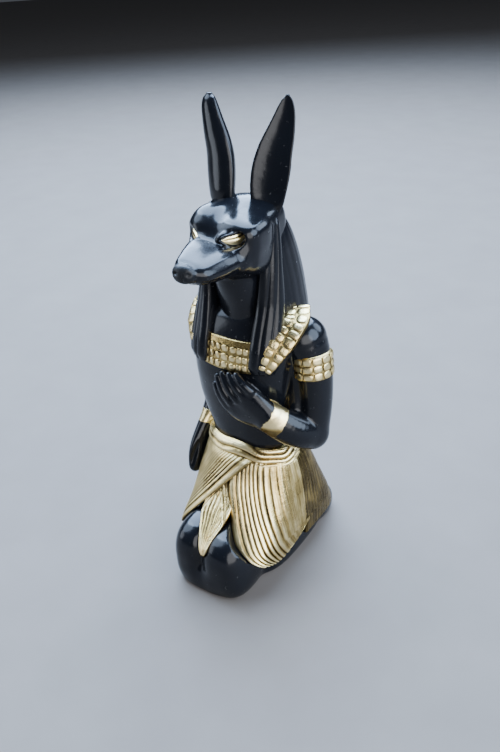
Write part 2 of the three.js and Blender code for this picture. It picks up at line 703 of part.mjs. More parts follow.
// A lappet of the headcloth, ridged along its length, from under the ear to the chest
const lappetX = profile([
  [LAPPET_END_Z, 10.2], [76, 10.4], [82, 10.2], [90, 9.9], [98, 9.5], [LAPPET_TOP_Z, 8.6],
]);
const lappetY = profile([
  [LAPPET_END_Z, -8], [76, -6.9], [82, -4.9], [90, -2.4], [98, -1.3], [LAPPET_TOP_Z, 0.6],
]);
const lappetWide = profile([
  [LAPPET_END_Z, 3.4], [72.4, 4.2], [78, 4.4], [86, 4], [98, 3.4], [110, 2.8], [LAPPET_TOP_Z, 1.2],
]);
const lappetFacing = profile([[LAPPET_END_Z, 28], [80, 30], [90, 42], [100, 60], [LAPPET_TOP_Z, 70]]);
const lappetThick = profile([[LAPPET_END_Z, 1.6], [73, 2.4], [90, 2.7], [110, 2.1], [LAPPET_TOP_Z, 0.9]]);
const FAR_LAPPET_OUTWARD = 0.7;

function lappet(side) {
  const outward = side < 0 ? FAR_LAPPET_OUTWARD : 0;
  const columns = LAPPET_RIDGES * 2;
  const rings = [LAPPET_END_Z, 71.6, 74.5, 79, 84, 89, 94, 100, 106, 111, LAPPET_TOP_Z].map((z) => {
    const angle = side * lappetFacing(z) * DEGREE;
    const across = [Math.cos(angle), Math.sin(angle)];
    const out = [Math.sin(angle), -Math.cos(angle)];
    const ring = [];
    const section = (u, v) => ring.push(new THREE.Vector3(
      side * (lappetX(z) + outward) + across[0] * u + out[0] * v,
      lappetY(z) + across[1] * u + out[1] * v,
      z,
    ));
    for (let s = 0; s <= columns; s += 1) {
      const u = (s / columns) * 2 - 1;
      const groove = s % 2 === 0 && s > 0 && s < columns ? LAPPET_GROOVE : 0;
      section(u * lappetWide(z), lappetThick(z) * Math.sqrt(1 - u * u * 0.82) - groove);
    }
    section(0.6 * lappetWide(z), -lappetThick(z));
    section(-0.6 * lappetWide(z), -lappetThick(z));
    return ring;
  });
  return loft(rings);
}

// The raised collar: rows of blocks across the chest and over each shoulder
function blockPatch(outerAt, innerAt, blocks, rows, pole) {
  const perBlock = 3;
  const columns = blocks * perBlock;
  const levels = rows * perBlock;
  const outer = (u, v) => {
    const besideBlock = Math.round(u * columns) % perBlock === 0;
    const besideRow = Math.round(v * levels) % perBlock === 0;
    return outerAt(u, v, besideBlock || besideRow ? -BLOCK_GROOVE : 0);
  };
  return patch(outer, innerAt, columns, levels, pole);
}

const BLOCK_GROOVE = 0.4;
const COLLAR_SPREAD = 38;       // degrees round the chest from the middle to each end
const COLLAR_BLOCKS = 7;
const COLLAR_ROWS = 3;

function collarCentre() {
  const spread = COLLAR_SPREAD * DEGREE;
  const at = (u, v, lift) => {
    const angle = -Math.PI / 2 + mix(-spread, spread, u);
    const dip = -0.7 * (1 - (2 * u - 1) ** 2);
    return torsoPoint(angle, mix(COLLAR_LOW_Z, COLLAR_HIGH_Z, v) + dip, lift);
  };
  const outer = (u, v, dent) => at(u, v, COLLAR_STEP + dent);
  const inner = (u, v) => at(u, v, -1.6);
  return blockPatch(outer, inner, COLLAR_BLOCKS, COLLAR_ROWS, new THREE.Vector3(0, SPINE_Y, 75));
}

const stripX = profile([[0, 10.6], [0.25, 13.2], [0.5, 15.4], [0.72, 15.8], [1, 13.4]]);
const stripY = profile([[0, -9.2], [0.25, -7.6], [0.5, -4], [0.72, 0.2], [1, 5.4]]);
const stripZ = profile([[0, 72.4], [0.25, 76.8], [0.5, 81.4], [0.72, 84.2], [1, 85.6]]);
const stripLean = profile([[0, 8], [0.25, 16], [0.5, 40], [0.72, 62], [1, 82]]);
const stripHalf = profile([[0, 2.6], [0.25, 3.3], [0.5, 3.6], [1, 3.8]]);
const STRIP_BLOCKS = 6;
const STRIP_LIFT = 0.6;
const STRIP_SPLAY = 0.42;       // how far the strip faces sideways

function collarSide(side) {
  const pull = side < 0 ? 1.2 : 0;
  const place = (t) => new THREE.Vector3(side * (stripX(t) - pull), stripY(t), stripZ(t));
  const at = (u, v, lift) => {
    const tilt = stripLean(u) * DEGREE;
    const out = new THREE.Vector3(side * STRIP_SPLAY * Math.cos(tilt), -Math.cos(tilt), Math.sin(tilt));
    out.normalize();
    const along = place(Math.min(1, u + 0.02)).sub(place(Math.max(0, u - 0.02))).normalize();
    const across = new THREE.Vector3().crossVectors(along, out).normalize();
    return place(u).addScaledVector(across, (2 * v - 1) * stripHalf(u)).addScaledVector(out, lift);
  };
  const outer = (u, v, dent) => at(u, v, STRIP_LIFT + dent);
  const pole = new THREE.Vector3(side * 11, 2, 78);
  return blockPatch(outer, (u, v) => at(u, v, -3), STRIP_BLOCKS, 2, pole);
}

function figure() {
  const neck = limb([
    [0, 2, 82, 8.4, 7.4],
    [0, 0.6, 88, 7.6, 7],
    [0, -2.2, 96, 7, 7.2],
    [0, -3, 101, 6.4, 6.6],
  ], SIDEWAYS, 14);
  const direction = (from, to) => new THREE.Vector3(...to).sub(new THREE.Vector3(...from)).normalize();
  const leftBand = armband(
    new THREE.Vector3(19.5, 2.7, 70.2),
    direction(LEFT_SHOULDER, LEFT_ELBOW),
    4.9,
    5.5,
  );
  const rightBand = armband(
    new THREE.Vector3(-16.5, 8, 69.5),
    direction(RIGHT_SHOULDER, RIGHT_ELBOW),
    4.9,
    5.5,
  );
  const forms = [
    torso(), neck, sash(), ...kilt(), tongue(), knee(LEFT_KNEE), knee(RIGHT_KNEE), shins(), foot(-1),
    foot(1), head(), hood(), lappet(-1), lappet(1), collarCentre(), collarSide(-1), collarSide(1),
    ...leftArm(), ...rightArm(), leftBand, rightBand,
  ];
  const ground = new THREE.BoxGeometry(200, 200, 60);
  ground.translate(0, 0, -30);
  return joinAll(forms).subtract(solidOfGeometry(ground));
}

function geometryOf(solid) {
  const mesh = solid.getMesh();
  const geometry = new THREE.BufferGeometry();
  const positions = new Float32Array(mesh.numVert * 3);
  for (let i = 0; i < mesh.numVert; i += 1) {
    for (let k = 0; k < 3; k += 1) positions[i * 3 + k] = mesh.vertProperties[i * mesh.numProp + k];
  }
  geometry.setAttribute('position', new THREE.BufferAttribute(positions, 3));
  geometry.setIndex(new THREE.BufferAttribute(new Uint32Array(mesh.triVerts), 1));
  geometry.computeVertexNormals();
  return geometry;
}

const statuette = new THREE.Group();
const body = new THREE.Mesh(geometryOf(figure()), black);
body.name = 'anubis_figure';
statuette.add(body);

export default statuette;
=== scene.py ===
# %% [markdown]
# # A kneeling jackal-headed figurine
# The real piece is one resin casting, 14 cm tall: lacquered black all over, then painted gold by hand
# on the kilt, sash, collar, armbands, wristbands and eyes.
# It could be sculpted by hand, but here every form comes from named sizes. Soft bodily forms are mixed
# from simple distances, as clay is, and cloth and ornament are surfaces that follow a rule.

# %% Load the frame
import math

import bmesh
import bpy
import numpy as np
from mathutils import Matrix, Vector


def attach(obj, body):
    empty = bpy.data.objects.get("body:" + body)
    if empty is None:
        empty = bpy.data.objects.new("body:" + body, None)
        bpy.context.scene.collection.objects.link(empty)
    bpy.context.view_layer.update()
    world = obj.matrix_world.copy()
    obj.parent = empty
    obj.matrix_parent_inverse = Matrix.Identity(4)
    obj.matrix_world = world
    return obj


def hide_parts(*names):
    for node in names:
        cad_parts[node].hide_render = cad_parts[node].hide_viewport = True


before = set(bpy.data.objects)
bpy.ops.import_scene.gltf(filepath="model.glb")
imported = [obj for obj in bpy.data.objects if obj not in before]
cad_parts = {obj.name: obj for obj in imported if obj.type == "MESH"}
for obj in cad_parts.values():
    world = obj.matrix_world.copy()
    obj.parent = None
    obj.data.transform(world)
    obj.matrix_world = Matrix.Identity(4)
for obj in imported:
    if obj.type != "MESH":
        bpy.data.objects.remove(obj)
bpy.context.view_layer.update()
MM = 0.001
rng = np.random.default_rng(14)

# %% [markdown]
# ## Camera
# The figure is seen from above and from its left. The view is 35 degrees round from the front and
# looks down by 30 degrees, and the picture leans a little, so the camera is rolled by 3.3 degrees.

# %% Camera
VIEW_ROUND = math.radians(35)
VIEW_DOWN = math.radians(30.4)
VIEW_ROLL = math.radians(3.3)
forward = Vector((
    -math.sin(VIEW_ROUND) * math.cos(VIEW_DOWN),
    math.cos(VIEW_ROUND) * math.cos(VIEW_DOWN),
    -math.sin(VIEW_DOWN),
))
level_right = Vector((math.cos(VIEW_ROUND), math.sin(VIEW_ROUND), 0))
level_up = level_right.cross(forward)
right = level_right * math.cos(VIEW_ROLL) - level_up * math.sin(VIEW_ROLL)
up = level_up * math.cos(VIEW_ROLL) + level_right * math.sin(VIEW_ROLL)
camera_data = bpy.data.cameras.new("camera")
camera_data.lens = 34.95
camera_data.sensor_width = 36
camera_data.clip_start = 0.01
camera = bpy.data.objects.new("camera", camera_data)
turn = Matrix((right, up, -forward)).transposed().to_4x4()
camera.matrix_world = Matrix.Translation((0.1064, -0.1517, 0.1714)) @ turn
bpy.context.scene.collection.objects.link(camera)
bpy.context.scene.camera = camera
print("camera", [round(v, 4) for v in camera.location])

# %% [markdown]
# ## Named curves
# A body changes width along its length. Each such change is a smooth curve through a few keys of place
# and value, level beyond its ends, so that one number can be altered and the form follows.

# %% Smooth curves through keys
def curve(*keys):
    place = np.array([key[0] for key in keys], float)
    value = np.array([key[1] for key in keys], float)
    step = np.diff(value) / np.diff(place)
    slope = np.zeros(len(keys))
    before, after = step[:-1], step[1:]
    same = before * after > 0
    slope[1:-1][same] = 2 * before[same] * after[same] / (before[same] + after[same])

    def at(where):
        where = np.clip(where, place[0], place[-1])
        i = np.clip(np.searchsorted(place, where, side="right") - 1, 0, len(keys) - 2)
        span = place[i + 1] - place[i]
        t = (where - place[i]) / span
        start = t * (1 - t) ** 2 * span * slope[i]
        end = t * t * (t - 1) * span * slope[i + 1]
        return value[i] + (value[i + 1] - value[i]) * t * t * (3 - 2 * t) + start + end

    return at


def mix(a, b, t):
    return a + (b - a) * t


def soft_max(a, b, reach):
    near = np.clip(0.5 + 0.5 * (a - b) / reach, 0, 1)
    return mix(b, a, near) + reach * near * (1 - near)


def unit(vector):
    vector = np.asarray(vector, float)
    return vector / np.linalg.norm(vector)


# %% [markdown]
# ## Clay
# A limb that grows out of a body has no edge where they meet. Metaballs would do it, but they give no
# say over the blend. So each form is a distance, counted from its surface, on a grid of points, and two
# forms are joined by a soft minimum with a chosen blend in millimetres. Cutting works the same way.

# %% Blocks of clay
class Clay:
    def __init__(self, low, high, step):
        self.low = np.array(low, float)
        self.step = step * 1
        self.axes = [np.arange(a, b + self.step, self.step) for a, b in zip(low, high)]
        self.field = np.full([len(axis) for axis in self.axes], 9.0, np.float32)

    def window(self, low, high, margin):
        first = [int(np.searchsorted(axis, a - margin)) for axis, a in zip(self.axes, low)]
        last = [int(np.searchsorted(axis, b + margin)) for axis, b in zip(self.axes, high)]
        part = tuple(slice(a, max(a, b)) for a, b in zip(first, last))
        x, y, z = (axis[cut] for axis, cut in zip(self.axes, part))
        return part, x[:, None, None], y[None, :, None], z[None, None, :]

    def add(self, form, blend=1.0):
        distance, low, high = form
        part, x, y, z = self.window(low, high, blend + 1.5)
        new = distance(x, y, z)
        old = self.field[part]
        near = np.clip(0.5 + 0.5 * (new - old) / blend, 0, 1)
        self.field[part] = mix(new, old, near) - blend * near * (1 - near)

    def cut(self, form, blend=0.5):
        distance, low, high = form
        part, x, y, z = self.window(low, high, blend + 1.5)
        new = -distance(x, y, z)
        old = self.field[part]
        near = np.clip(0.5 - 0.5 * (new - old) / blend, 0, 1)
        self.field[part] = mix(new, old, near) + blend * near * (1 - near)

    def value(self, points):
        place = (points - self.low) / self.step
        place = np.clip(place, 0, np.array(self.field.shape) - 1.001)
        base = place.astype(int)
        part = place - base
        total = 0
        for i in (0, 1):
            for j in (0, 1):
                for k in (0, 1):
                    weight = abs(1 - i - part[:, 0]) * abs(1 - j - part[:, 1]) * abs(1 - k - part[:, 2])
                    total = total + weight * self.field[base[:, 0] + i, base[:, 1] + j, base[:, 2] + k]
        return total


# %% [markdown]
# A grid of distances becomes a mesh with one point in each cell that the surface passes through, joined
# in quads. Each point is then slid onto the surface itself, so that gloss runs over it without ripples.

# %% From clay to quads
def skin(clay):
    inside = clay.field < 0
    cells_along = np.array(inside.shape) - 1
    corners = [(i, j, k) for i in (0, 1) for j in (0, 1) for k in (0, 1)]
    count = np.zeros(cells_along, np.int8)
    for i, j, k in corners:
        count += inside[i:i + cells_along[0], j:j + cells_along[1], k:k + cells_along[2]]
    cells = np.argwhere((count > 0) & (count < 8))
    index = np.full(cells_along, -1, np.int64)
    index[tuple(cells.T)] = np.arange(len(cells))
    total = np.zeros((len(cells), 3))
    hits = np.zeros(len(cells))
    for corner in corners:
        for axis in range(3):
            if corner[axis]:
                continue
            other = np.array(corner)
            other[axis] = 1
            a = clay.field[tuple((cells + corner).T)]
            b = clay.field[tuple((cells + other).T)]
            crossed = (a < 0) != (b < 0)
            point = np.tile(np.array(corner, float), (len(cells), 1))
            point[:, axis] = np.where(crossed, a / np.where(crossed, a - b, 1), 0)
            total += point * crossed[:, None]
            hits += crossed
    points = clay.low + (cells + total / hits[:, None]) * clay.step
    faces = []
    for axis in range(3):
        u, v = (axis + 1) % 3, (axis + 2) % 3
        start = np.take(inside, range(inside.shape[axis] - 1), axis)
        end = np.take(inside, range(1, inside.shape[axis]), axis)
        edge = np.argwhere(start != end)
        kept = (edge[:, u] > 0) & (edge[:, v] > 0)
        kept &= (edge[:, u] < cells_along[u]) & (edge[:, v] < cells_along[v])
        edge = edge[kept]
        ring = []
        for du, dv in ((1, 1), (0, 1), (0, 0), (1, 0)):
            cell = edge.copy()
            cell[:, u] -= du
            cell[:, v] -= dv
            ring.append(index[tuple(cell.T)])
        quad = np.stack(ring, 1)
        faces.append(np.where(start[tuple(edge.T)][:, None], quad, quad[:, ::-1]))
    for _ in range(3):
        value = clay.value(points)
        reach = clay.step * 0.6
        slope = np.stack([
            (clay.value(points + reach * side) - clay.value(points - reach * side)) / (2 * reach)
            for side in np.eye(3)
        ], 1)
        push = value / np.maximum((slope ** 2).sum(1), 0.2)
        points = points - np.clip(push, -0.3, 0.3)[:, None] * slope
    return points, np.concatenate(faces)


def make_piece(name, points, faces):
    mesh = bpy.data.meshes.new(name)
    faces = [np.asarray(group) for group in (faces if isinstance(faces, list) else [faces])]
    faces = [group for group in faces if len(group)]
    loops = np.concatenate([group.ravel() for group in faces])
    sizes = np.concatenate([np.full(len(group), group.shape[1]) for group in faces])
    mesh.vertices.add(len(points))
    mesh.vertices.foreach_set("co", (np.asarray(points) * MM).astype(np.float32).ravel())
    mesh.loops.add(len(loops))
    mesh.loops.foreach_set("vertex_index", loops.astype(np.int32))
    mesh.polygons.add(len(sizes))
    mesh.polygons.foreach_set("loop_start", (np.cumsum(sizes) - sizes).astype(np.int32))
    mesh.update(calc_edges=True)
    mesh.validate()
    mesh.shade_smooth()
    piece = bpy.data.objects.new(name, mesh)
    bpy.context.scene.collection.objects.link(piece)
    print(name, "faces", len(mesh.polygons))
    return piece


def mark(piece, name, values):
    layer = piece.data.attributes.new(name, "FLOAT", "POINT")
    layer.data.foreach_set("value", np.asarray(values, np.float32))


# %% [markdown]
# Three kinds of form are enough for the body: a ball that can be squared off, a limb through stations
# with its own width and depth at each, and an upright body whose outline is an oval at every level.

# %% Forms
def ball(place, radii, turn=0.0, tilt=0.0, power=2.0):
    place, radii = np.array(place, float), np.array(radii, float)
    c, s = math.cos(math.radians(turn)), math.sin(math.radians(turn))
    ct, st = math.cos(math.radians(tilt)), math.sin(math.radians(tilt))
    across = np.array([c, s, 0])
    along = np.array([-s * ct, c * ct, st])
    upward = np.cross(across, along)

    def distance(x, y, z):
        local = [(x - place[0]) * a[0] + (y - place[1]) * a[1] + (z - place[2]) * a[2]
                 for a in (across, along, upward)]
        share = [np.abs(part) / radius + 1e-6 for part, radius in zip(local, radii)]
        whole = sum(part ** power for part in share) ** (1 / power)
        slope = [(part / whole) ** (power - 1) / radius for part, radius in zip(share, radii)]
        return (whole - 1) / np.sqrt(sum(part ** 2 for part in slope))

    reach = radii.max()
    return distance, place - reach, place + reach


def limb(stations, across=(1, 0, 0), parts=5):
    stations = np.array(stations, float)
    index = np.arange(len(stations))
    dense = np.linspace(0, len(stations) - 1, parts * (len(stations) - 1) + 1)
    rows = np.stack([curve(*zip(index, column))(dense) for column in stations.T], 1)
    if len(stations) > 2:
        straight = np.stack([np.interp(dense, index, column) for column in stations.T], 1)
        rows = 0.5 * rows + 0.5 * straight
        for _ in range(parts):
            rows[1:-1] = (rows[:-2] + 2 * rows[1:-1] + rows[2:]) / 4
    across = np.array(across, float)

    def distance(x, y, z):
        best = 99.0
        for a, b in zip(rows[:-1], rows[1:]):
            axis = b[:3] - a[:3]
            length = max(np.linalg.norm(axis), 1e-6)
            axis = axis / length
            side = unit(across - axis * (across @ axis))
            out = np.cross(axis, side)
            p = [x - a[0], y - a[1], z - a[2]]
            raw = p[0] * axis[0] + p[1] * axis[1] + p[2] * axis[2]
            t = np.clip(raw / length, 0, 1)
            wide, deep = mix(a[3], b[3], t), mix(a[4], b[4], t)
            sideways = p[0] * side[0] + p[1] * side[1] + p[2] * side[2]
            outward = p[0] * out[0] + p[1] * out[1] + p[2] * out[2]
            beyond = raw - t * length
            whole = np.sqrt((sideways / wide) ** 2 + (outward / deep) ** 2 + (beyond / deep) ** 2) + 1e-6
            steep = np.sqrt(
                (sideways / wide ** 2) ** 2 + (outward / deep ** 2) ** 2 + (beyond / deep ** 2) ** 2
            ) + 1e-6
            best = np.minimum(best, whole * (whole - 1) / steep)
        return best

    reach = stations[:, 3:].max()
    return distance, stations[:, :3].min(0) - reach, stations[:, :3].max(0) + reach


def oval(x, y, wide, front, back, power):
    deep = np.where(y < 0, front, back)
    a, b = np.abs(x) / wide + 1e-6, np.abs(y) / deep + 1e-6
    whole = (a ** power + b ** power) ** (1 / power)
    steep = np.sqrt(((a / whole) ** (power - 1) / wide) ** 2 + ((b / whole) ** (power - 1) / deep) ** 2)
    return np.clip((whole - 1) / steep, -6, 9)


# %% [markdown]
# ## Torso and arms
# The torso is an oval at each level, wide at the chest and narrow at the sash. The left forearm lies
# across the belly with the hand flat on the chest, standing a few millimetres proud of it, and the space
# between arm and chest is filled, as it has to be in a mould of two halves. The right arm hangs down.

# %% Torso
WAIST_Z = 43.5
SASH_FOOT_Z = 37.8
SPINE_Y = 1.0
TORSO_POWER = 2.3
torso_right = curve((30, 14.2), (43.5, 13.4), (50, 15.4), (58, 17.2), (67, 17.7), (77, 17.4), (83, 14.4), (87, 9))
torso_left = curve((30, 14.2), (43.5, 12.8), (50, 13.2), (58, 13.6), (67, 14.4), (76, 16), (83, 14.2), (87, 9))
torso_front = curve((30, 8.6), (43.5, 8.4), (50, 8.8), (58, 9.7), (66, 10.5), (71, 10.5), (79, 8.7), (83, 7.3), (87, 5))
torso_back = curve((30, 10.6), (43.5, 9.2), (52, 9.4), (62, 10.8), (74, 12.2), (82, 10.8), (87, 7))


def torso_distance(x, y, z):
    wide = np.where(x > 0, torso_left(z), torso_right(z))
    return oval(x, y - SPINE_Y, wide, torso_front(z), torso_back(z), TORSO_POWER)


def torso_point(angle, z, lift=0.0):
    turn_x, turn_y = np.cos(angle), np.sin(angle)
    wide = np.where(turn_x > 0, torso_left(z), torso_right(z)) + lift
    deep = np.where(turn_y < 0, torso_front(z), torso_back(z)) + lift
    x = wide * np.sign(turn_x) * np.abs(turn_x) ** (2 / TORSO_POWER)
    y = deep * np.sign(turn_y) * np.abs(turn_y) ** (2 / TORSO_POWER)
    return np.stack(np.broadcast_arrays(x, SPINE_Y + y, z), -1)


body = Clay((-24.5, -17, 20), (27, 20, 90), 0.42)
torso_form = lambda x, y, z: np.maximum(torso_distance(x, y, z), np.maximum(z - 87, 35 - z))
body.add((torso_form, (-19, -12, 34), (19, 15, 87)), 0.5)
print("clay block", body.field.shape)

# %% Arms and hands
LEFT_SHOULDER, LEFT_ELBOW, LEFT_WRIST = (16.6, 4, 77.3), (20.2, 1.4, 48.8), (12.6, -9.3, 57.6)
RIGHT_SHOULDER, RIGHT_ELBOW, RIGHT_WRIST = (-14.9, 6, 77), (-17.6, 11.4, 55.5), (-18.7, 5, 42.5)
body.add(limb([(14.0, 3.2, 76, 4.4, 4.4), (15.2, 2.6, 66, 4.0, 3.6), (15.6, 0.6, 56, 4.0, 4.0)]), 0.9)
body.add(limb([
    (*LEFT_SHOULDER, 6.2, 6.5), (19.8, 4, 69.5, 4.9, 5.4), (20.5, 3.4, 59, 4.7, 5.2), (*LEFT_ELBOW, 4.7, 5.0),
]), 0.8)
body.add(limb([
    (*LEFT_ELBOW, 4.8, 4.7), (19.2, -3.2, 51.2, 5.0, 4.5), (16.2, -7, 54.4, 4.9, 4), (*LEFT_WRIST, 4.6, 3.4),
], (0, 0, 1)), 0.9)
hand_across = unit((0.62, -0.1, 0.78))
body.add(limb([
    (*LEFT_WRIST, 4.5, 3.2), (8.8, -10, 60, 5.4, 3.0), (5.6, -10.4, 62, 5.6, 2.7), (3.6, -10.3, 63.6, 5.2, 2.0),
], hand_across), 0.8)
body.add(limb([
    (11.0, -9.3, 56.2, 3.4, 2.6), (6.0, -9.9, 57.0, 4.0, 2.4), (1.6, -10.2, 58.4, 4.2, 2.2), (-1.4, -10.2, 61.0, 3.2, 1.8),
], hand_across), 1.0)
FINGERS = (
    ((8.4, -11.7, 66.0), (6.2, -12.2, 67.6), (3.4, -11.3, 69.8)),
    ((6.0, -12.0, 64.0), (3.6, -12.3, 66.5), (1.0, -11.4, 69.3)),
    ((3.6, -12.0, 62.2), (1.1, -12.1, 65.0), (-1.6, -11.0, 68.8)),
    ((1.2, -11.6, 60.4), (-1.4, -11.6, 63.4), (-3.6, -10.6, 67.4)),
    ((-0.4, -11.0, 58.2), (-2.8, -11.0, 61.2), (-4.7, -10.3, 64.4)),
)
for knuckle, middle, tip in FINGERS:
    body.add(limb([(*knuckle, 1.2, 1.1), (*middle, 1.35, 1.25), (*tip, 1.0, 0.95)], hand_across), 0.6)
body.add(limb([
    (*RIGHT_SHOULDER, 5.8, 6.4), (-16.8, 8.2, 68, 4.8, 5.4), (*RIGHT_ELBOW, 4.4, 4.7), (-18.2, 9, 49.5, 4, 4.2),
    (*RIGHT_WRIST, 3.1, 3.4),
]), 1.6)
body.add(limb([
    (*RIGHT_WRIST, 3, 3.4), (-19.8, 1.6, 37, 2.6, 3.9), (-20.5, -2.0, 31, 2.4, 4.6), (-20.3, -4.2, 26.4, 2.0, 3.2),
]), 0.8)
body.cut(limb([(-18.4, -4.4, 34.8, 0.8, 1.0), (-19.6, -6.8, 30.2, 1.1, 1.5), (-19.9, -7.8, 26.8, 0.7, 0.9)]), 0.6)
print("arms added")

# %% [markdown]
# The wristbands are not modelled on the real piece, only painted, with a ragged edge. So the skin keeps,
# at each point, its distance from the band in millimetres, and the material turns that into paint.

# %% Skin of the torso and arms
points, faces = skin(body)
torso = make_piece("torso_and_arms", points, faces)


def band_distance(points, start, end, near, far, reach):
    axis = unit(np.array(end) - np.array(start))
    along = (points - np.array(start)) @ axis
    off = np.linalg.norm(points - np.array(start) - along[:, None] * axis, axis=1)
    middle, half = (near + far) / 2, (far - near) / 2
    return np.maximum(np.abs(along - middle) - half, off - reach)


near_band = band_distance(points, (18.6, -4, 52.4), LEFT_WRIST, 6.2, 11.0, 5.3)
far_band = band_distance(points, RIGHT_WRIST, RIGHT_ELBOW, -4.4, 0.2, 5)
mark(torso, "gold_edge", np.minimum(near_band, far_band))
# On the near wristband the paint is darker below a set height, which is painted shade on its lower side; the far band
# keeps one tone.
wrist_painted_shade = np.where(points[:, 0] > 0, 0.3 + 0.6 * np.clip((points[:, 2] - 55.2) / 1.2, 0, 1), 0.8)
mark(torso, "crest", wrist_painted_shade)

# %% [markdown]
# ## Knees, shins and feet
# Only the two knees show well: broad domes with a shallow groove between them, cut flat where the
# figure stands. Shins, feet and the dark mass under the kilt are fuller and plainer.

# %% Legs
legs = Clay((-19.5, -31, -1.6), (19.5, 32, 41), 0.5)
for middle, wide, front in ((4.1, 7.9, -30.0), (-8.0, 6.5, -29.4)):
    legs.add(ball((middle, front + 11, 8.7), (wide, 11, 12), power=2.7), 1.6)
    legs.add(ball((middle * 0.9, -9, 9), (wide * 0.86, 14, 12.5), power=2.6), 1.5)
legs.add(ball((-2.6, -19.3, 3.2), (10.6, 10.2, 6.4), power=2.8), 2.0)
legs.add(ball((0, 4.5, 3.4), (14.8, 22, 7), power=3.2), 1.5)
for side in (-1, 1):
    legs.add(ball((side * 7.4, 20.7, 3.3), (7.4, 9.6, 6.6), side * -4, power=2.3), 0.8)
kilt_wide = curve((7, 17.9), (14, 18.2), (24, 17.8), (32, 17), (37, 15.8), (40, 14.4))
kilt_front = curve((7, -25.6), (13, -23), (20, -18.6), (27, -14.8), (33, -11.8), (38, -9.6), (40, -8))
kilt_back = curve((7, 25.6), (14, 22.8), (24, 19.8), (32, 17.5), (37, 14.8), (40, 10.5))
kilt_power = curve((7, 5), (14, 4.8), (20, 3.8), (27, 2.8), (36, 2.25))
KILT_MIDDLE_Y = 3.0


def under_kilt(x, y, z):
    inset = 3.2
    front, back = KILT_MIDDLE_Y - kilt_front(z) - inset, kilt_back(z) - KILT_MIDDLE_Y - inset
    inside = oval(x, y - KILT_MIDDLE_Y, kilt_wide(z) - inset, front, back, kilt_power(z))
    return np.maximum(inside, np.maximum(z - 40, 11 - z))


opening_x = curve((10, 14.5), (12, 12.4), (13.8, 8.5), (15.9, 4.7), (20.6, 1.4), (26.3, -0.5), (31, -2.3))


KNEE_VIEW = unit((-0.44, 0.58, -0.69))


def beside_opening(x, y, z):
    reach = (kilt_front(z) - y) / KNEE_VIEW[1]
    for _ in range(3):
        reach = (kilt_front(z + KNEE_VIEW[2] * reach) - y) / KNEE_VIEW[1]
    across, level = x + KNEE_VIEW[0] * reach, z + KNEE_VIEW[2] * reach
    return np.maximum(-np.minimum(across - opening_x(level) - 1.3, level - 10.9), y - kilt_front(z) - 1.5)


legs.cut((beside_opening, (-3, -31, 9), (22, -9, 30)), 0.3)
legs.add((under_kilt, (-18, -24, 11), (18, 25, 40)), 0.8)
ground = lambda x, y, z: z + 0 * x + 0 * y
legs.cut((ground, (-20, -32, -2), (20, 33, 0)), 0.2)
points, faces = skin(legs)
points[:, 2] = np.maximum(points[:, 2], 0)
knees = make_piece("knees_and_feet", points, faces)

# %% [markdown]
# ## Head
# The jackal's head is the part that people look at. It is built in its own straight frame, then turned
# 4 degrees to the figure's left. A broad muzzle with a flat top runs to a rough nose pad, two swellings
# of the forehead stand over the eyes with a furrow between them, and the brows overhang long eyes.

# %% Skull and muzzle
head = Clay((-11.5, -31, 80), (11.5, 14, 119.5), 0.32)
muzzle_top = curve((-30, 107.9), (-26, 108.7), (-20, 109.5), (-15, 109.8), (-12, 110.6))
muzzle_low = curve((-30, 103.9), (-26, 102.3), (-20, 100.6), (-14, 99.6), (-10, 99))
muzzle_wide = curve((-30, 4.0), (-26, 5.6), (-21, 6.9), (-15.5, 8.2), (-12, 8.7))
muzzle_crown = curve((-30, 1.5), (-26, 1.9), (-15, 2.1), (-10, 1.8))


NEAR_SIDE, FAR_SIDE = 1.12, 0.84
MUZZLE_ROLL = 0.19


def muzzle(x, y, z):
    near = mix(NEAR_SIDE, 1.0, np.clip((y + 20) / 8, 0, 1))
    wide, aside = muzzle_wide(y), np.maximum(x / near, -x / FAR_SIDE)
    roof = (z - muzzle_top(y) + MUZZLE_ROLL * (x + 2) + muzzle_crown(y) * (aside / wide) ** 4) * 0.94
    shoulder = muzzle_top(y) - muzzle_crown(y)
    cheek = (aside - wide + 0.08 * np.maximum(shoulder - z, 0)) * 0.98
    under = muzzle_low(y) + 0.05 * x * x - z
    whole = soft_max(soft_max(roof, cheek, 2.1), under, 2.2)
    return np.maximum(soft_max(whole, -29.0 - y, 3.6), y + 8)


head.add((muzzle, (-9, -31, 99), (9, -8, 113)), 0.5)
head.add(limb([(0, -26.2, 104.6, 2.7, 1.5), (0, -21, 103.9, 4, 2.2), (0, -15, 102.9, 5.2, 3), (0, -9, 101.8, 6, 4)]), 0.35)
skull_wide = curve((-13, 8.0), (-10, 9.7), (-3, 10.1), (8, 9.4), (11, 7.6))
SKULL_MIDDLE = 0.45
skull_top = curve((-14, 110.6), (-12.4, 112.6), (-10.6, 113.9), (-8.8, 114.5), (-4, 115.5), (2, 116.3), (8, 115.6), (11, 113.5))
skull_low = curve((-13, 101.5), (-9, 99), (-3, 96.5), (11, 96))


def skull(x, y, z):
    x = x - SKULL_MIDDLE
    middle, half = (skull_top(y) + skull_low(y)) / 2, (skull_top(y) - skull_low(y)) / 2
    slope = 0.26 * np.sqrt(x * x + 4) - 0.52
    roof = (z - skull_top(y) + slope) * 0.96
    whole = soft_max(oval(x, z - middle, skull_wide(y), half, half, 3.6), roof, 0.8)
    return soft_max(soft_max(whole, -13.2 - y, 2.2), y - 9.0, 4.0)


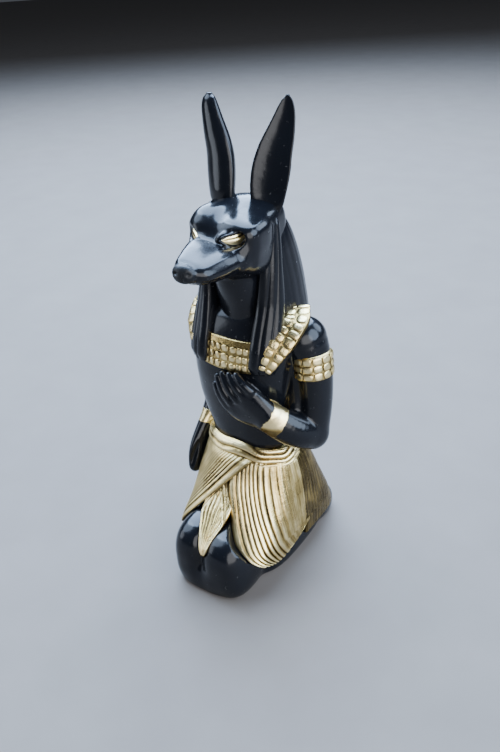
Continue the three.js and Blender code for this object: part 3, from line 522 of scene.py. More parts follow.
head.add((skull, (-10.5, -14, 95), (11.4, 12, 118)), 2.6)
head.add(limb([(0, 2, 82, 8.4, 7.4), (0, 0.6, 88, 7.6, 7), (0, -2.2, 96, 7, 7.2), (0, -3, 101, 6.4, 6.6)]), 1.5)
for side in (-1, 1):
    out = 5.9 if side > 0 else 3.6
    tilt, height = (7, 109.3) if side > 0 else (16, 108.9)
    head.add(ball((side * out, -7.4, height), (5.9, 5.3, 4.6), -90, side * -tilt, power=3.2), 1.3)
    head.add(ball((6.2 if side > 0 else -4.1, -7.4, 104.8), (3.2, 6.4, 4.8), side * 12), 3.0)
head.add(ball((-4.5, -6.6, 111.8), (4.5, 6.0, 4.2), -16), 1.8)
head.cut(limb([
    (0, -13.8, 112.8, 0.9, 0.8), (0, -10, 115.6, 1.2, 0.9), (0.2, -6, 116.9, 1.2, 0.9), (0.4, -2, 118, 1, 0.7),
]), 1.8)
print("skull", head.field.shape)

# %% Eyes, nose and mouth
EYE_TURN = math.radians(50)
EYE_PLACE = (5.46, -12.92, 109.6)
eye_low = curve((-3.1, 0.35), (-1.9, -0.5), (-0.4, -1.0), (1.2, -1.1), (2.3, -0.5), (3.2, 0.7))
eye_high = curve((-3.1, 0.45), (-1.5, 1.1), (0.3, 1.3), (2.6, 1.75), (3.2, 0.9))


def eye_spot(side, along, out, rise):
    c, s = math.cos(EYE_TURN), math.sin(EYE_TURN)
    x = side * (EYE_PLACE[0] + (0.0 if side > 0 else 0.8) + along * c + out * s)
    y = EYE_PLACE[1] + along * s - out * c
    return x, y, EYE_PLACE[2] + rise


def lid(side, stations):
    sunk = 0.0 if side > 0 else 0.2
    return limb([(*eye_spot(side, along, out - sunk, rise), r, r) for along, out, rise, r in stations])


for side in (-1, 1):
    turned = side * math.degrees(EYE_TURN)
    deep = 0.9 if side > 0 else 1.2
    head.cut(ball(eye_spot(side, 0.2, deep, 0.3), (4.0, 1.5, 2.0), turned, power=2.3), 0.5)
    long = 4.4 if side > 0 else 3.5
    head.add(ball(eye_spot(side, 4.5 - long, -1.9, 0.1), (long, 1.9, 2.3), turned), 0.2)
    head.add(lid(side, [
        (-3.8, -0.1, 0.5, 0.3), (-2.9, 0.0, -0.3, 0.42), (-1.0, 0.2, -1.9, 0.45), (1.2, 0.1, -2.1, 0.45),
        (3.0, 0.0, -1.1, 0.42), (4.4, 0.0, 0.2, 0.4), (5.2, 0.0, 1.3, 0.25),
    ]), 0.25)
    if side > 0:
        head.add(lid(side, [
            (-3.4, -0.4, 1.2, 0.25), (-1.4, 0.1, 1.7, 0.35), (0.8, 0.2, 1.9, 0.4), (3.2, 0.2, 2.3, 0.4),
            (5.6, 0.4, 1.6, 0.3),
        ]), 0.25)
        head.cut(lid(side, [(-4.6, 0.8, 0.6, 0.3), (-3.8, 0.9, -0.8, 0.35), (-2.4, 0.7, -2.5, 0.2)]), 0.35)
    head.cut(limb([
        (side * 0.6, -28.9, 104.4, 0.15, 0.15), (side * 4.2, -27.6, 104.0, 0.16, 0.16),
        (side * 6.0, -23, 103.5, 0.14, 0.14), (side * 7.0, -18, 103.0, 0.05, 0.05),
    ]), 0.3)
NOSE_PAD = (-0.4, -28.6, 106.0)
head.add(ball(NOSE_PAD, (2.9, 1.5, 2.4), power=2.2), 1.2)
for side in (-1, 1):
    head.cut(ball((side * 1.9, -30.0, 106.4), (0.8, 0.9, 0.5), side * -30), 0.4)
head.cut(limb([(0, -30.2, 106.4, 0.2, 0.2), (0, -29.6, 104.8, 0.2, 0.2)]), 0.25)
muzzle_bend = curve((-29, 0.9), (-20, 0.45), (-11, 0))
HEAD_TURN = math.radians(4)
HEAD_PIVOT = np.array([0, 2.0, 0])


def turn_head(points):
    c, s = math.cos(HEAD_TURN), math.sin(HEAD_TURN)
    straight = np.asarray(points, float) - HEAD_PIVOT
    return straight @ np.array([[c, s, 0], [-s, c, 0], [0, 0, 1]]) + HEAD_PIVOT


points, faces = skin(head)
nose_edge = np.linalg.norm(points - NOSE_PAD, axis=1) - 3.3
points[:, 0] += muzzle_bend(points[:, 1])
jackal = make_piece("jackal_head", turn_head(points), faces)
mark(jackal, "matt_edge", nose_edge)
print("head skin", len(points))

# %% [markdown]
# ## Surfaces in rows
# Cloth, ears and headcloth follow rules along their length, so they are made as rows of points: either
# closed rings from end to end, or a plate with an outer face, an inner face and a rim between them.
# The volume tells whether the faces look outwards, and they are turned round if they don't.

# %% Rings, plates and their faces
def facing_out(points, faces):
    total = 0.0
    for group in faces:
        corner = points[group]
        for i in range(1, group.shape[1] - 1):
            total += np.einsum("ij,ij->i", corner[:, 0], np.cross(corner[:, i], corner[:, i + 1])).sum()
    return faces if total > 0 else [group[:, ::-1] for group in faces]


def rings_piece(name, rings, start=None, end=None):
    levels, sides = rings.shape[:2]
    start = rings[0].mean(0) if start is None else start
    end = rings[-1].mean(0) if end is None else end
    points = np.concatenate([rings.reshape(-1, 3), [start], [end]])
    row, column = np.meshgrid(np.arange(levels - 1), np.arange(sides), indexing="ij")
    a, b = row * sides + column, row * sides + (column + 1) % sides
    quads = np.stack([a, b, b + sides, a + sides], -1).reshape(-1, 4)
    s = np.arange(sides)
    first, last = levels * sides, (levels - 1) * sides
    fans = np.concatenate([
        np.stack([np.full(sides, first), (s + 1) % sides, s], 1),
        np.stack([np.full(sides, first + 1), last + s, last + (s + 1) % sides], 1),
    ])
    return make_piece(name, points, facing_out(points, [quads, fans]))


def plate_piece(name, outer, inner):
    rows, columns = outer.shape[:2]
    count = rows * columns
    points = np.concatenate([outer.reshape(-1, 3), inner.reshape(-1, 3)])
    at = np.arange(count).reshape(rows, columns)
    face = np.stack([at[:-1, :-1], at[:-1, 1:], at[1:, 1:], at[1:, :-1]], -1).reshape(-1, 4)
    rim = np.concatenate([at[0, :-1], at[:-1, -1], at[-1, :0:-1], at[:0:-1, 0]])
    after = np.roll(rim, -1)
    side = np.stack([rim, rim + count, after + count, after], 1)
    return make_piece(name, points, facing_out(points, [face, face[:, ::-1] + count, side]))


def mark_grain(piece, across, along):
    flat = np.stack([across, along, 0 * across], -1).reshape(-1, 3)
    layer = piece.data.attributes.new("grain", "FLOAT_VECTOR", "POINT")
    layer.data.foreach_set("vector", np.concatenate([flat, flat]).astype(np.float32).ravel())


def spread(count, ends=0.012):
    inner = np.linspace(0, 1, count)
    return np.unique(np.concatenate([[0, ends * 0.15, ends * 0.5, ends], inner[(inner > ends) & (inner < 1 - ends)],
                                     [1 - ends, 1 - ends * 0.5, 1 - ends * 0.15, 1]]))


def rounded_edge(u, v, ends=0.012):
    near = np.minimum(np.minimum(u, 1 - u), np.minimum(v, 1 - v)) / ends
    return np.sqrt(np.clip(1 - (1 - np.clip(near, 0, 1)) ** 2, 0, 1))


def pleat_shape(phase, crest=0.45, power=0.75):
    phase = np.where(phase < crest, phase / crest * 0.5, 0.5 + (phase - crest) / (1 - crest) * 0.5)
    return np.sin(np.pi * np.clip(phase, 0, 1)) ** power


# %% [markdown]
# ## Ears
# The ears are tall spoons, hollow in front, with a rolled rim that catches the light along its whole
# length. Each is a stack of curved sections that widens, then narrows to a rounded tip.

# %% Ears
EAR_BASE_Z = 111.0
EAR_TIP_Z = 140.0
near_ear = curve((0, 3), (0.14, 4.4), (0.38, 5.1), (0.6, 4.5), (0.8, 3.1), (0.9, 2.2), (0.96, 1.4), (1, 0.5))
far_ear = curve((0, 3), (0.14, 4.2), (0.38, 4.7), (0.6, 4.4), (0.8, 3.4), (0.9, 2.7), (0.96, 1.9), (1, 0.8))
for side, name in ((1, "ear_left"), (-1, "ear_right")):
    tip = (10.1, 8.8) if side > 0 else (-11.6, 7.4)
    middle_x, middle_y = curve((0, side * 6.8), (0.45, side * 7.6), (1, tip[0])), curve((0, 3.2), (0.45, 5.4), (1, tip[1]))
    t = 1 - (1 - np.linspace(0, 1, 70)) ** 1.4
    wide = (near_ear if side > 0 else far_ear)(t)[:, None]
    back = 0.62 * wide
    hollow = (0.26 if side > 0 else -0.22) * wide * np.clip(t * 5, 0, 1)[:, None]
    rim = 0.17 * wide + 0.22
    around = np.linspace(0, 2 * np.pi, 73)[:-1][None, :]
    u = np.cos(around)
    roll = np.abs(np.sin(around)) ** 0.7
    bow = 1 - u * u
    v = np.where(np.sin(around) >= 0, back * bow + rim * roll, hollow * bow - rim * roll)
    turned = side * math.radians(15)
    x = u * wide * math.cos(turned) - v * math.sin(turned)
    y = u * wide * math.sin(turned) + v * math.cos(turned)
    z = np.broadcast_to((EAR_BASE_Z + (EAR_TIP_Z - EAR_BASE_Z) * t)[:, None], x.shape)
    rings = np.stack([middle_x(t)[:, None] + x, middle_y(t)[:, None] + y - back * 0.5, z], -1)
    ear = rings_piece(name, turn_head(rings.reshape(-1, 3)).reshape(rings.shape))

# %% [markdown]
# ## Headcloth
# The cloth covers the back of the head and neck and ends in two lappets on the chest. Both are ridged
# along their length, with round ridges and narrow valleys.

# %% Hood
hood_wide = curve((74, 12.4), (82, 13.7), (90, 12.9), (98, 11.8), (107, 10.1), (111, 8.4), (114.6, 4.2))
hood_front = curve((74, -1), (82, -3.6), (98, -4.2), (107, -3.6), (112, -1.4), (115.4, 1))
hood_back = curve((74, 15.6), (76, 17.4), (82, 18.8), (90, 18.4), (98, 17), (107, 13.6), (111, 10.4), (114.6, 6.4))
z = np.linspace(74, 114.6, 90)[:, None]
angle = np.linspace(0, 2 * np.pi, 301)[:-1][None, :]
middle, half = (hood_front(z) + hood_back(z)) / 2, (hood_back(z) - hood_front(z)) / 2
ridge = pleat_shape((angle / (2 * np.pi) * 34) % 1) * 0.07 - 0.07
fade = np.clip((116 - z) / 6, 0, 1)
wide_here, deep_here = hood_wide(z) + ridge * fade, half + ridge * fade
rings = np.stack(np.broadcast_arrays(
    wide_here * np.sign(np.cos(angle)) * np.abs(np.cos(angle)) ** 0.8,
    middle + deep_here * np.sign(np.sin(angle)) * np.abs(np.sin(angle)) ** 0.8, z), -1)
hood = rings_piece("headcloth", rings)

# %% Lappets
lappet_x = curve((70.6, 10.2), (76, 10.4), (82, 10.2), (90, 9.9), (98, 9.5), (113.6, 8.6))
lappet_y = curve((70.6, -8), (76, -6.9), (82, -4.9), (90, -2.4), (98, -1.3), (113.6, 0.6))
lappet_wide = curve((70.6, 3.4), (72.4, 4.2), (78, 4.4), (86, 4), (98, 3.4), (110, 2.8), (113.6, 1.2))
lappet_facing = curve((70.6, 28), (80, 30), (90, 42), (100, 60), (113.6, 70))
lappet_thick = curve((70.6, 1.6), (73, 2.4), (90, 2.7), (110, 2.1), (113.6, 0.9))
LAPPET_RIDGES = 3
for side, name, outward in ((1, "lappet_left", 0), (-1, "lappet_right", 0.7)):
    z = np.linspace(70.6, 113.6, 120)[:, None]
    facing = side * np.radians(lappet_facing(z))
    front_u = np.linspace(-1, 1, 71)[None, :]
    ridge = pleat_shape(((front_u + 1) / 2 * LAPPET_RIDGES) % 1, 0.5, 0.5) * 0.34 - 0.34
    front_v = lappet_thick(z) * np.sqrt(1 - front_u ** 2 * 0.86) + ridge
    back_u = np.linspace(0.7, -0.7, 9)[None, :]
    back_v = -lappet_thick(z) + 0 * back_u
    u = np.concatenate([front_u + 0 * z, back_u + 0 * z], 1) * lappet_wide(z)
    v = np.concatenate([front_v, back_v], 1)
    x = side * (lappet_x(z) + outward) + np.cos(facing) * u + np.sin(facing) * v
    y = lappet_y(z) + np.sin(facing) * u - np.cos(facing) * v
    lappet = rings_piece(name, np.stack(np.broadcast_arrays(x, y, z), -1))

# %% [markdown]
# ## Sash
# A strip of cloth is wound round the waist in level folds that sag and wander. It covers the joint
# between the body and the kilt.

# %% Sash
SASH_TWIST = math.radians(360 - 62)
angle = np.linspace(0, 2 * np.pi, 361)[:-1][None, :]
level = np.linspace(0, 1, 60)[:, None]
sag = 0.35 * np.sin(3 * angle + 0.6) + 0.2 * np.sin(7 * angle)
knot = np.exp(-((angle - SASH_TWIST) / 0.22) ** 2)
wander = 0.16 * np.sin(3 * angle + 1) + 0.07 * np.sin(9 * angle)
finer = np.clip((angle - SASH_TWIST) / 0.7 + 0.5, 0, 1) * np.clip((2 * np.pi - angle) * 2, 0, 1)
finer = finer * finer * (3 - 2 * finer)
folds = pleat_shape((level * (2.6 + 1.2 * finer) + 0.1 + wander * np.sin(np.pi * level)) % 1, 0.5, 0.6)
z = SASH_FOOT_Z - 0.9 + (WAIST_Z - SASH_FOOT_Z + 0.9) * level + sag
fullness = 1 + 0.22 * np.sin(4 * angle + 2) + 0.5 * knot
lift = 0.6 + (0.55 + 0.85 * folds * fullness) * np.sin(np.pi * np.clip(level, 0.02, 0.98)) ** 0.3
rings = torso_point(angle, z, lift)
closing_low, closing_high = torso_point(angle, z[:1] - 0.4, -1.5), torso_point(angle, z[-1:] + 0.2, -1.5)
sash = rings_piece("sash", np.concatenate([closing_low, rings, closing_high]))
# The folds are stored as 'crest', so the paint is darker in the valleys between folds: painted shade.
mark(sash, "crest", np.concatenate([np.zeros(360), folds.ravel(), np.zeros(362)]))

# %% [markdown]
# ## Kilt
# The kilt is square towards its hem and oval at the waist. A point on it is found from its height and
# its running length from the front middle, the way a tailor would measure it, so pleats keep their
# width where the outline turns a corner.

# %% The kilt's outline as a table
KILT_TOP_Z = 39.6
SLIT_Y = 0.5
table_z = np.linspace(6, 40.5, 346)
angle = -np.pi / 2 + np.linspace(0, np.pi, 721)[None, :]
deep = np.where(np.sin(angle) < 0, KILT_MIDDLE_Y - kilt_front(table_z[:, None]), kilt_back(table_z[:, None]) - KILT_MIDDLE_Y)
power = 2 / kilt_power(table_z[:, None])
outline_x = kilt_wide(table_z[:, None]) * np.abs(np.cos(angle)) ** power
outline_y = KILT_MIDDLE_Y + deep * np.sign(np.sin(angle)) * np.abs(np.sin(angle)) ** power
lengths = np.cumsum(np.hypot(np.diff(outline_x, axis=1), np.diff(outline_y, axis=1)), axis=1)
lengths = np.concatenate([np.zeros((len(table_z), 1)), lengths], 1)
table_half = lengths[:, -1]
table_slit = np.array([row[np.argmax(y >= SLIT_Y)] for row, y in zip(lengths, outline_y)])
share = np.linspace(0, 1, 601)
table_x = np.array([np.interp(share, row / row[-1], x) for row, x in zip(lengths, outline_x)])
table_y = np.array([np.interp(share, row / row[-1], y) for row, y in zip(lengths, outline_y)])


def slit_run(z):
    return np.interp(z, table_z, table_slit)


def half_run(z):
    return np.interp(z, table_z, table_half)


def kilt_point(z, run, lift):
    z, run, lift = np.broadcast_arrays(z, run, lift)
    where = np.clip(np.abs(run) / half_run(z), 0, 1)
    row = np.clip((z - table_z[0]) / (table_z[1] - table_z[0]), 0, len(table_z) - 1.001)

    def look(table, share_at):
        column = np.clip(share_at * 600, 0, 599.999)
        i, j = row.astype(int), column.astype(int)
        a, b = row - i, column - j
        return (table[i, j] * (1 - a) * (1 - b) + table[i + 1, j] * a * (1 - b)
                + table[i, j + 1] * (1 - a) * b + table[i + 1, j + 1] * a * b)

    x, y = look(table_x, where), look(table_y, where)
    ahead, behind = np.clip(where + 0.004, 0, 1), np.clip(where - 0.004, 0, 1)
    dx, dy = look(table_x, ahead) - look(table_x, behind), look(table_y, ahead) - look(table_y, behind)
    length = np.hypot(dx, dy)
    x, y = x + lift * dy / length, y - lift * dx / length
    return np.stack([np.where(run < 0, -x, x), y, z], -1)


print("kilt length round the hem", round(2 * float(half_run(9.0)), 1), "mm")

# %% Front panels, back panel
near_hem_line = curve((0, 11.2), (0.15, 10.6), (0.4, 9.8), (0.75, 11.2), (1, 13.6))
near_hem = lambda share: near_hem_line(share ** 1.2)
far_hem = curve((0, 13.4), (0.3, 12.4), (1, 13.6))
back_hem = curve((0, 8.2), (0.3, 7.4), (0.5, 8.6))
near_sweep = curve((0, 0), (0.3, 0.005), (0.47, 0.09), (0.67, 0.19), (0.835, 0.37), (0.91, 0.59), (0.97, 0.84), (1, 1))
NEAR_TOP_RUN, NEAR_FOOT_RUN = -2.4, 15.6
FAR_TOP_RUN, FAR_FOOT_RUN = 6.0, -18.0


def near_run(share, drop, z):
    slit_top, slit_foot = slit_run(KILT_TOP_Z), slit_run(near_hem(1))
    top, foot = mix(NEAR_TOP_RUN, slit_top, share), mix(NEAR_FOOT_RUN, slit_foot, share ** 1.2)
    slit_sweep = (slit_run(z) - slit_top) / (slit_foot - slit_top)
    fan = mix(near_sweep(drop), drop ** 2.0, np.clip(share * 2.4, 0, 1) ** 0.8)
    return mix(top, foot, mix(fan, slit_sweep, np.clip(share * 2 - 1, 0, 1) ** 1.5))


def far_run(share, drop, z):
    slit_top, slit_foot = slit_run(KILT_TOP_Z), slit_run(far_hem(1))
    top, foot = mix(FAR_TOP_RUN, -slit_top, share), mix(FAR_FOOT_RUN, -slit_foot, share ** 1.15)
    slit_sweep = (slit_run(z) - slit_top) / (slit_foot - slit_top)
    return mix(top, foot, mix(drop, slit_sweep, share))


def pleated_panel(name, count, run, hem, depth, swell, lift, thick=1.5):
    u = spread(300, 0.008)[None, :]
    v = spread(110, 0.008)[:, None]
    drop = 1 - (1 - v) ** 1.5
    z = mix(KILT_TOP_Z, hem(u), drop)
    where = run(u, drop, z)
    crest = pleat_shape(count(u) % 1, 0.42, 0.5)
    strength = np.clip(np.minimum(v * 5, 0.4 + (1 - v) * 4), 0, 1)
    edge = rounded_edge(u, v, 0.008)
    rise = lift - depth(u) * (1 - crest) * strength - 0.55 * (1 - edge) - swell(u) * np.sin(np.pi * v) ** 0.5
    panel = plate_piece(name, kilt_point(z, where, rise), kilt_point(z, where, lift - thick - 0.6 * depth(u) * (1 - crest)))
    # Painted shade: the paint is darker in the grooves of the deep pleats and at the rolled rim, and keeps one middle
    # tone where the pleats are shallow.
    bold = np.clip(depth(u) / depth(0), 0, 1)
    lit = np.broadcast_to(mix(0.66, crest ** 2, np.clip(0.08 + bold ** 1.2, 0, 1)) * edge, z.shape).ravel()
    mark(panel, "crest", np.concatenate([lit, np.zeros(z.size)]))
    mark_grain(panel, np.broadcast_to(u * 62, z.shape), np.broadcast_to(drop * 3, z.shape))
    return panel


near_count = curve((0, 0), (0.5, 6.4), (0.75, 9.4), (1, 12.4))
near_depth = curve((0, 1.0), (0.48, 0.9), (0.64, 0.42), (0.8, 0.16), (1, 0.08))
near_swell = curve((0, 0), (0.5, 0.1), (0.64, 0.6), (0.76, 0.05), (0.88, 0.5), (0.97, 0))
far_swell = curve((0, 0), (0.2, 0.05), (0.45, 0.4), (0.7, 0.1), (1, 0.3))
far_count = curve((0, 0.1), (0.15, 1), (0.32, 4), (1, 20))
far_depth = curve((0, 0.4), (0.3, 0.34), (0.5, 0.2), (1, 0.16))
near_panel = pleated_panel("kilt_front_left", near_count, near_run, near_hem, near_depth, near_swell, 0.1)
far_panel = pleated_panel("kilt_front_right", far_count, far_run, far_hem, far_depth, far_swell, 0.75)
u, v = spread(150, 0.01)[None, :], spread(70, 0.01)[:, None]
z = mix(KILT_TOP_Z, back_hem(np.minimum(u, 1 - u)), v)
run = mix(slit_run(z) - 1.4, 2 * half_run(z) - slit_run(z) + 1.4, u)
run = np.where(run > half_run(z), run - 2 * half_run(z), run)
crest = pleat_shape((u * 40) % 1, 0.5, 0.6)
edge = rounded_edge(u, v, 0.01)
outer = kilt_point(z, run, -0.1 - 0.14 * (1 - crest) * np.clip(v * 4, 0, 1) - 0.55 * (1 - edge))
back_panel = plate_piece("kilt_back", outer, kilt_point(z, run, -1.9))
# Painted shade: the back panel's paint is kept dark all over, since that side faces away from the light, and is a
# little lighter on its shallow pleat crests.
mark(back_panel, "crest", np.concatenate([np.broadcast_to(0.2 + 0.1 * crest * edge, z.shape).ravel(), np.zeros(z.size)]))
mark_grain(back_panel, np.broadcast_to(u * 150, z.shape), np.broadcast_to(v * 3, z.shape))

# %% Tongue
tongue_x = curve((0, -3.7), (0.43, -3.1), (0.61, -2.2), (0.83, -1.3), (1, -0.7))
tongue_y = curve((0, -10.6), (0.3, -14.4), (0.5, -19.6), (0.8, -26.2), (1, -29))
tongue_z = curve((0, 31), (0.3, 26.4), (0.5, 23), (0.75, 19.3), (0.9, 16.9), (1, 14.8))
tongue_half = curve((0, 4.9), (0.43, 4.9), (0.5, 4.6), (0.61, 3.8), (0.71, 2.9), (0.83, 2.0), (0.93, 1.25), (1, 0.5))
u, v = spread(110, 0.03)[None, :], spread(130, 0.012)[:, None]
edge = rounded_edge(u, v, 0.03)
across = (u * 2 - 1) * tongue_half(v)
border = np.minimum(u, 1 - u) * 2 * tongue_half(v)
fold = sum(np.exp(-((v - peak - slope * np.abs(u - 0.44)) / 0.014) ** 2) for peak, slope in ((0.09, 0.75), (0.2, 0.6)))
inside = np.clip((border - 0.75) * 3, 0, 1) * np.clip((v - 0.24 - 0.6 * np.abs(u - 0.44)) * 30, 0, 1)
veins = (1 - pleat_shape((u * 7) % 1, 0.5, 0.4)) * inside
height = 0.3 - 0.34 * veins - 0.1 * inside - 0.3 * np.clip(fold, 0, 1)


def tongue_point(lift):
    return np.stack(np.broadcast_arrays(
        tongue_x(v) + across, tongue_y(v) - 0.5 * lift, tongue_z(v) - 0.05 * across ** 2 + lift), -1)


tongue = plate_piece("tongue", tongue_point((height + 0.4) * edge - 0.2), tongue_point(-1.6 + 0 * u * v))
# Painted shade: the paint is darker in the vein grooves, across the two folds near the top, a little over the sunken
# middle, and at the rolled rim.
lit = np.clip(0.86 - 0.66 * veins - 0.12 * inside - 0.6 * np.clip(fold, 0, 1), 0, 1) * edge
mark(tongue, "crest", np.concatenate([lit.ravel(), np.zeros(lit.size)]))
mark_grain(tongue, u * 24 + 0 * v, v * 4 + 0 * u)

# %% [markdown]
# ## Paint and lacquer
# The lacquer is nearly black and glossy, so it shows what it reflects more than its own colour. Fine
# dust and an uneven film keep it from looking like glass. The gold is a thick satin paint with random
# patches and brush streaks; its colour also follows a crest value, light on crests and brown in grooves and folds,
# which is painted shade.

# %% Helpers for materials
def new_material(name):
    material = bpy.data.materials.new(name)
    material.use_nodes = True
    nodes, links = material.node_tree.nodes, material.node_tree.links
    nodes.clear()
    output = nodes.new("ShaderNodeOutputMaterial")
    shader = nodes.new("ShaderNodeBsdfPrincipled")
    links.new(shader.outputs[0], output.inputs[0])
    return material, nodes, links, shader


def noise(nodes, links, place, scale, detail=4, rough=0.55):
    node = nodes.new("ShaderNodeTexNoise")
    node.inputs["Scale"].default_value = scale
    node.inputs["Detail"].default_value = detail
    node.inputs["Roughness"].default_value = rough
    links.new(place, node.inputs["Vector"])
    return node.outputs["Fac"]


def ramp(nodes, links, value, *keys):
    node = nodes.new("ShaderNodeValToRGB")
    while len(node.color_ramp.elements) < len(keys):
        node.color_ramp.elements.new(0.5)
    for element, (place, colour) in zip(node.color_ramp.elements, keys):
        element.position = place
        element.color = (*colour, 1) if isinstance(colour, tuple) else (colour, colour, colour, 1)
    links.new(value, node.inputs["Fac"])
    return node.outputs["Color"]


def maths(nodes, links, operation, a, b=None, clamp=False):
    node = nodes.new("ShaderNodeMath")
    node.operation = operation
    node.use_clamp = clamp
    for socket, value in zip(node.inputs, (a, b)):
        if value is None:
            continue
        if isinstance(value, (int, float)):
            socket.default_value = value
        else:
            links.new(value, socket)
    return node.outputs[0]


def blend(nodes, links, share, a, b):
    node = nodes.new("ShaderNodeMix")
    node.data_type = "RGBA"
    links.new(share, node.inputs["Factor"])
    for socket, value in ((node.inputs["A"], a), (node.inputs["B"], b)):
        if isinstance(value, tuple):
            socket.default_value = (*value, 1)
        else:
            links.new(value, socket)
    return node.outputs["Result"]


def attribute(nodes, name):
    node = nodes.new("ShaderNodeAttribute")
    node.attribute_name = name
    return node.outputs["Fac"]


def attribute_vector(nodes, name):
    node = nodes.new("ShaderNodeAttribute")
    node.attribute_name = name
    return node.outputs["Vector"]


def object_place(nodes):
    return nodes.new("ShaderNodeTexCoord").outputs["Object"]


def bump(nodes, links, height, distance, strength=1.0):
    node = nodes.new("ShaderNodeBump")
    node.inputs["Distance"].default_value = distance
    node.inputs["Strength"].default_value = strength
    links.new(height, node.inputs["Height"])
    return node.outputs["Normal"]


# %% Colours of both finishes
def lacquer_parts(nodes, links, place):
    dust = noise(nodes, links, place, 900, 3, 0.6)
    specks = ramp(nodes, links, dust, (0.66, 0.0), (0.74, 1.0))
    film = noise(nodes, links, place, 60, 3)
    colour = blend(nodes, links, specks, (0.0035, 0.004, 0.0055), (0.03, 0.03, 0.03))
    rough = maths(nodes, links, "MULTIPLY_ADD", film, 0.16)
    rough.node.inputs[2].default_value = 0.1
    rough = maths(nodes, links, "ADD", rough, maths(nodes, links, "MULTIPLY", specks, 0.15))
    return colour, rough, noise(nodes, links, place, 150, 3, 0.45)


def gold_parts(nodes, links, place, crest):
    patches = noise(nodes, links, place, 110, 6, 0.62)
    streaks = noise(nodes, links, attribute_vector(nodes, "grain"), 1.0, 3, 0.6)
    lit = maths(nodes, links, "MULTIPLY_ADD", patches, 0.95)
    lit.node.inputs[2].default_value = -0.48
    brushed = maths(nodes, links, "MULTIPLY_ADD", streaks, 1.15)
    brushed.node.inputs[2].default_value = -0.57
    lit = maths(nodes, links, "ADD", lit, brushed)
    # The crest value carries each piece's painted shade, added on top of the random patches and brush streaks.
    lit = maths(nodes, links, "ADD", lit, crest, clamp=True)
    colour = ramp(nodes, links, lit, (0.0, (0.02, 0.012, 0.005)), (0.3, (0.12, 0.086, 0.034)),
                  (0.6, (0.50, 0.36, 0.13)), (1.0, (1.0, 0.83, 0.43)))
    rough = maths(nodes, links, "MULTIPLY_ADD", patches, 0.3)
    rough.node.inputs[2].default_value = 0.14
    return colour, rough, maths(nodes, links, "ADD", noise(nodes, links, place, 700, 4), streaks)


lacquer, nodes, links, shader = new_material("black_lacquer")
place = object_place(nodes)
colour, rough, height = lacquer_parts(nodes, links, place)
links.new(colour, shader.inputs["Base Color"])
links.new(rough, shader.inputs["Roughness"])
links.new(bump(nodes, links, height, 0.00016), shader.inputs["Normal"])
shader.inputs["IOR"].default_value = 1.34

matt_nose, nodes, links, shader = new_material("lacquer_with_matt_nose")
place = object_place(nodes)
colour, rough, height = lacquer_parts(nodes, links, place)
worn = maths(nodes, links, "ADD", attribute(nodes, "matt_edge"), maths(nodes, links, "MULTIPLY", noise(nodes, links, place, 300, 3), 0.9))
dull = maths(nodes, links, "MULTIPLY_ADD", worn, -1.6, clamp=True)
dull.node.inputs[2].default_value = 0.9
grit = noise(nodes, links, place, 1500, 3)
links.new(colour, shader.inputs["Base Color"])
links.new(blend(nodes, links, dull, rough, (0.42, 0.42, 0.42)), shader.inputs["Roughness"])
links.new(bump(nodes, links, blend(nodes, links, dull, height, grit), 0.00012), shader.inputs["Normal"])
shader.inputs["IOR"].default_value = 1.34

gold, nodes, links, shader = new_material("gold_paint")
place = object_place(nodes)
colour, rough, height = gold_parts(nodes, links, place, attribute(nodes, "crest"))
links.new(colour, shader.inputs["Base Color"])
links.new(rough, shader.inputs["Roughness"])
links.new(bump(nodes, links, height, 0.00012), shader.inputs["Normal"])
shader.inputs["Metallic"].default_value = 1.0
shader.inputs["Specular Tint"].default_value = (0.93, 0.84, 0.7, 1)

painted, nodes, links, shader = new_material("lacquer_with_gold_bands")
place = object_place(nodes)
black_colour, black_rough, black_height = lacquer_parts(nodes, links, place)
gold_colour, gold_rough, gold_height = gold_parts(nodes, links, place, attribute(nodes, "crest"))
ragged = noise(nodes, links, place, 420, 4)
edge = maths(nodes, links, "ADD", attribute(nodes, "gold_edge"), maths(nodes, links, "MULTIPLY_ADD", ragged, 1.6))
edge.node.inputs[1].links[0].from_node.inputs[2].default_value = -0.8
covered = maths(nodes, links, "MULTIPLY", edge, -6.0, clamp=True)
links.new(blend(nodes, links, covered, black_colour, gold_colour), shader.inputs["Base Color"])
links.new(blend(nodes, links, covered, black_rough, gold_rough), shader.inputs["Roughness"])
links.new(covered, shader.inputs["Metallic"])
links.new(bump(nodes, links, blend(nodes, links, covered, black_height, gold_height), 0.00014), shader.inputs["Normal"])
shader.inputs["IOR"].default_value = 1.34
print("materials", [material.name for material in bpy.data.materials])

# %% [markdown]
# ## Collar and armbands
# Both are rows of small raised blocks on a plain band. Geometry Nodes set one soft-edged block on each
# guide point: the guide gives its place, which way it faces and its half sizes, and the tree adds a
# little unevenness, as a hand-cut model has.

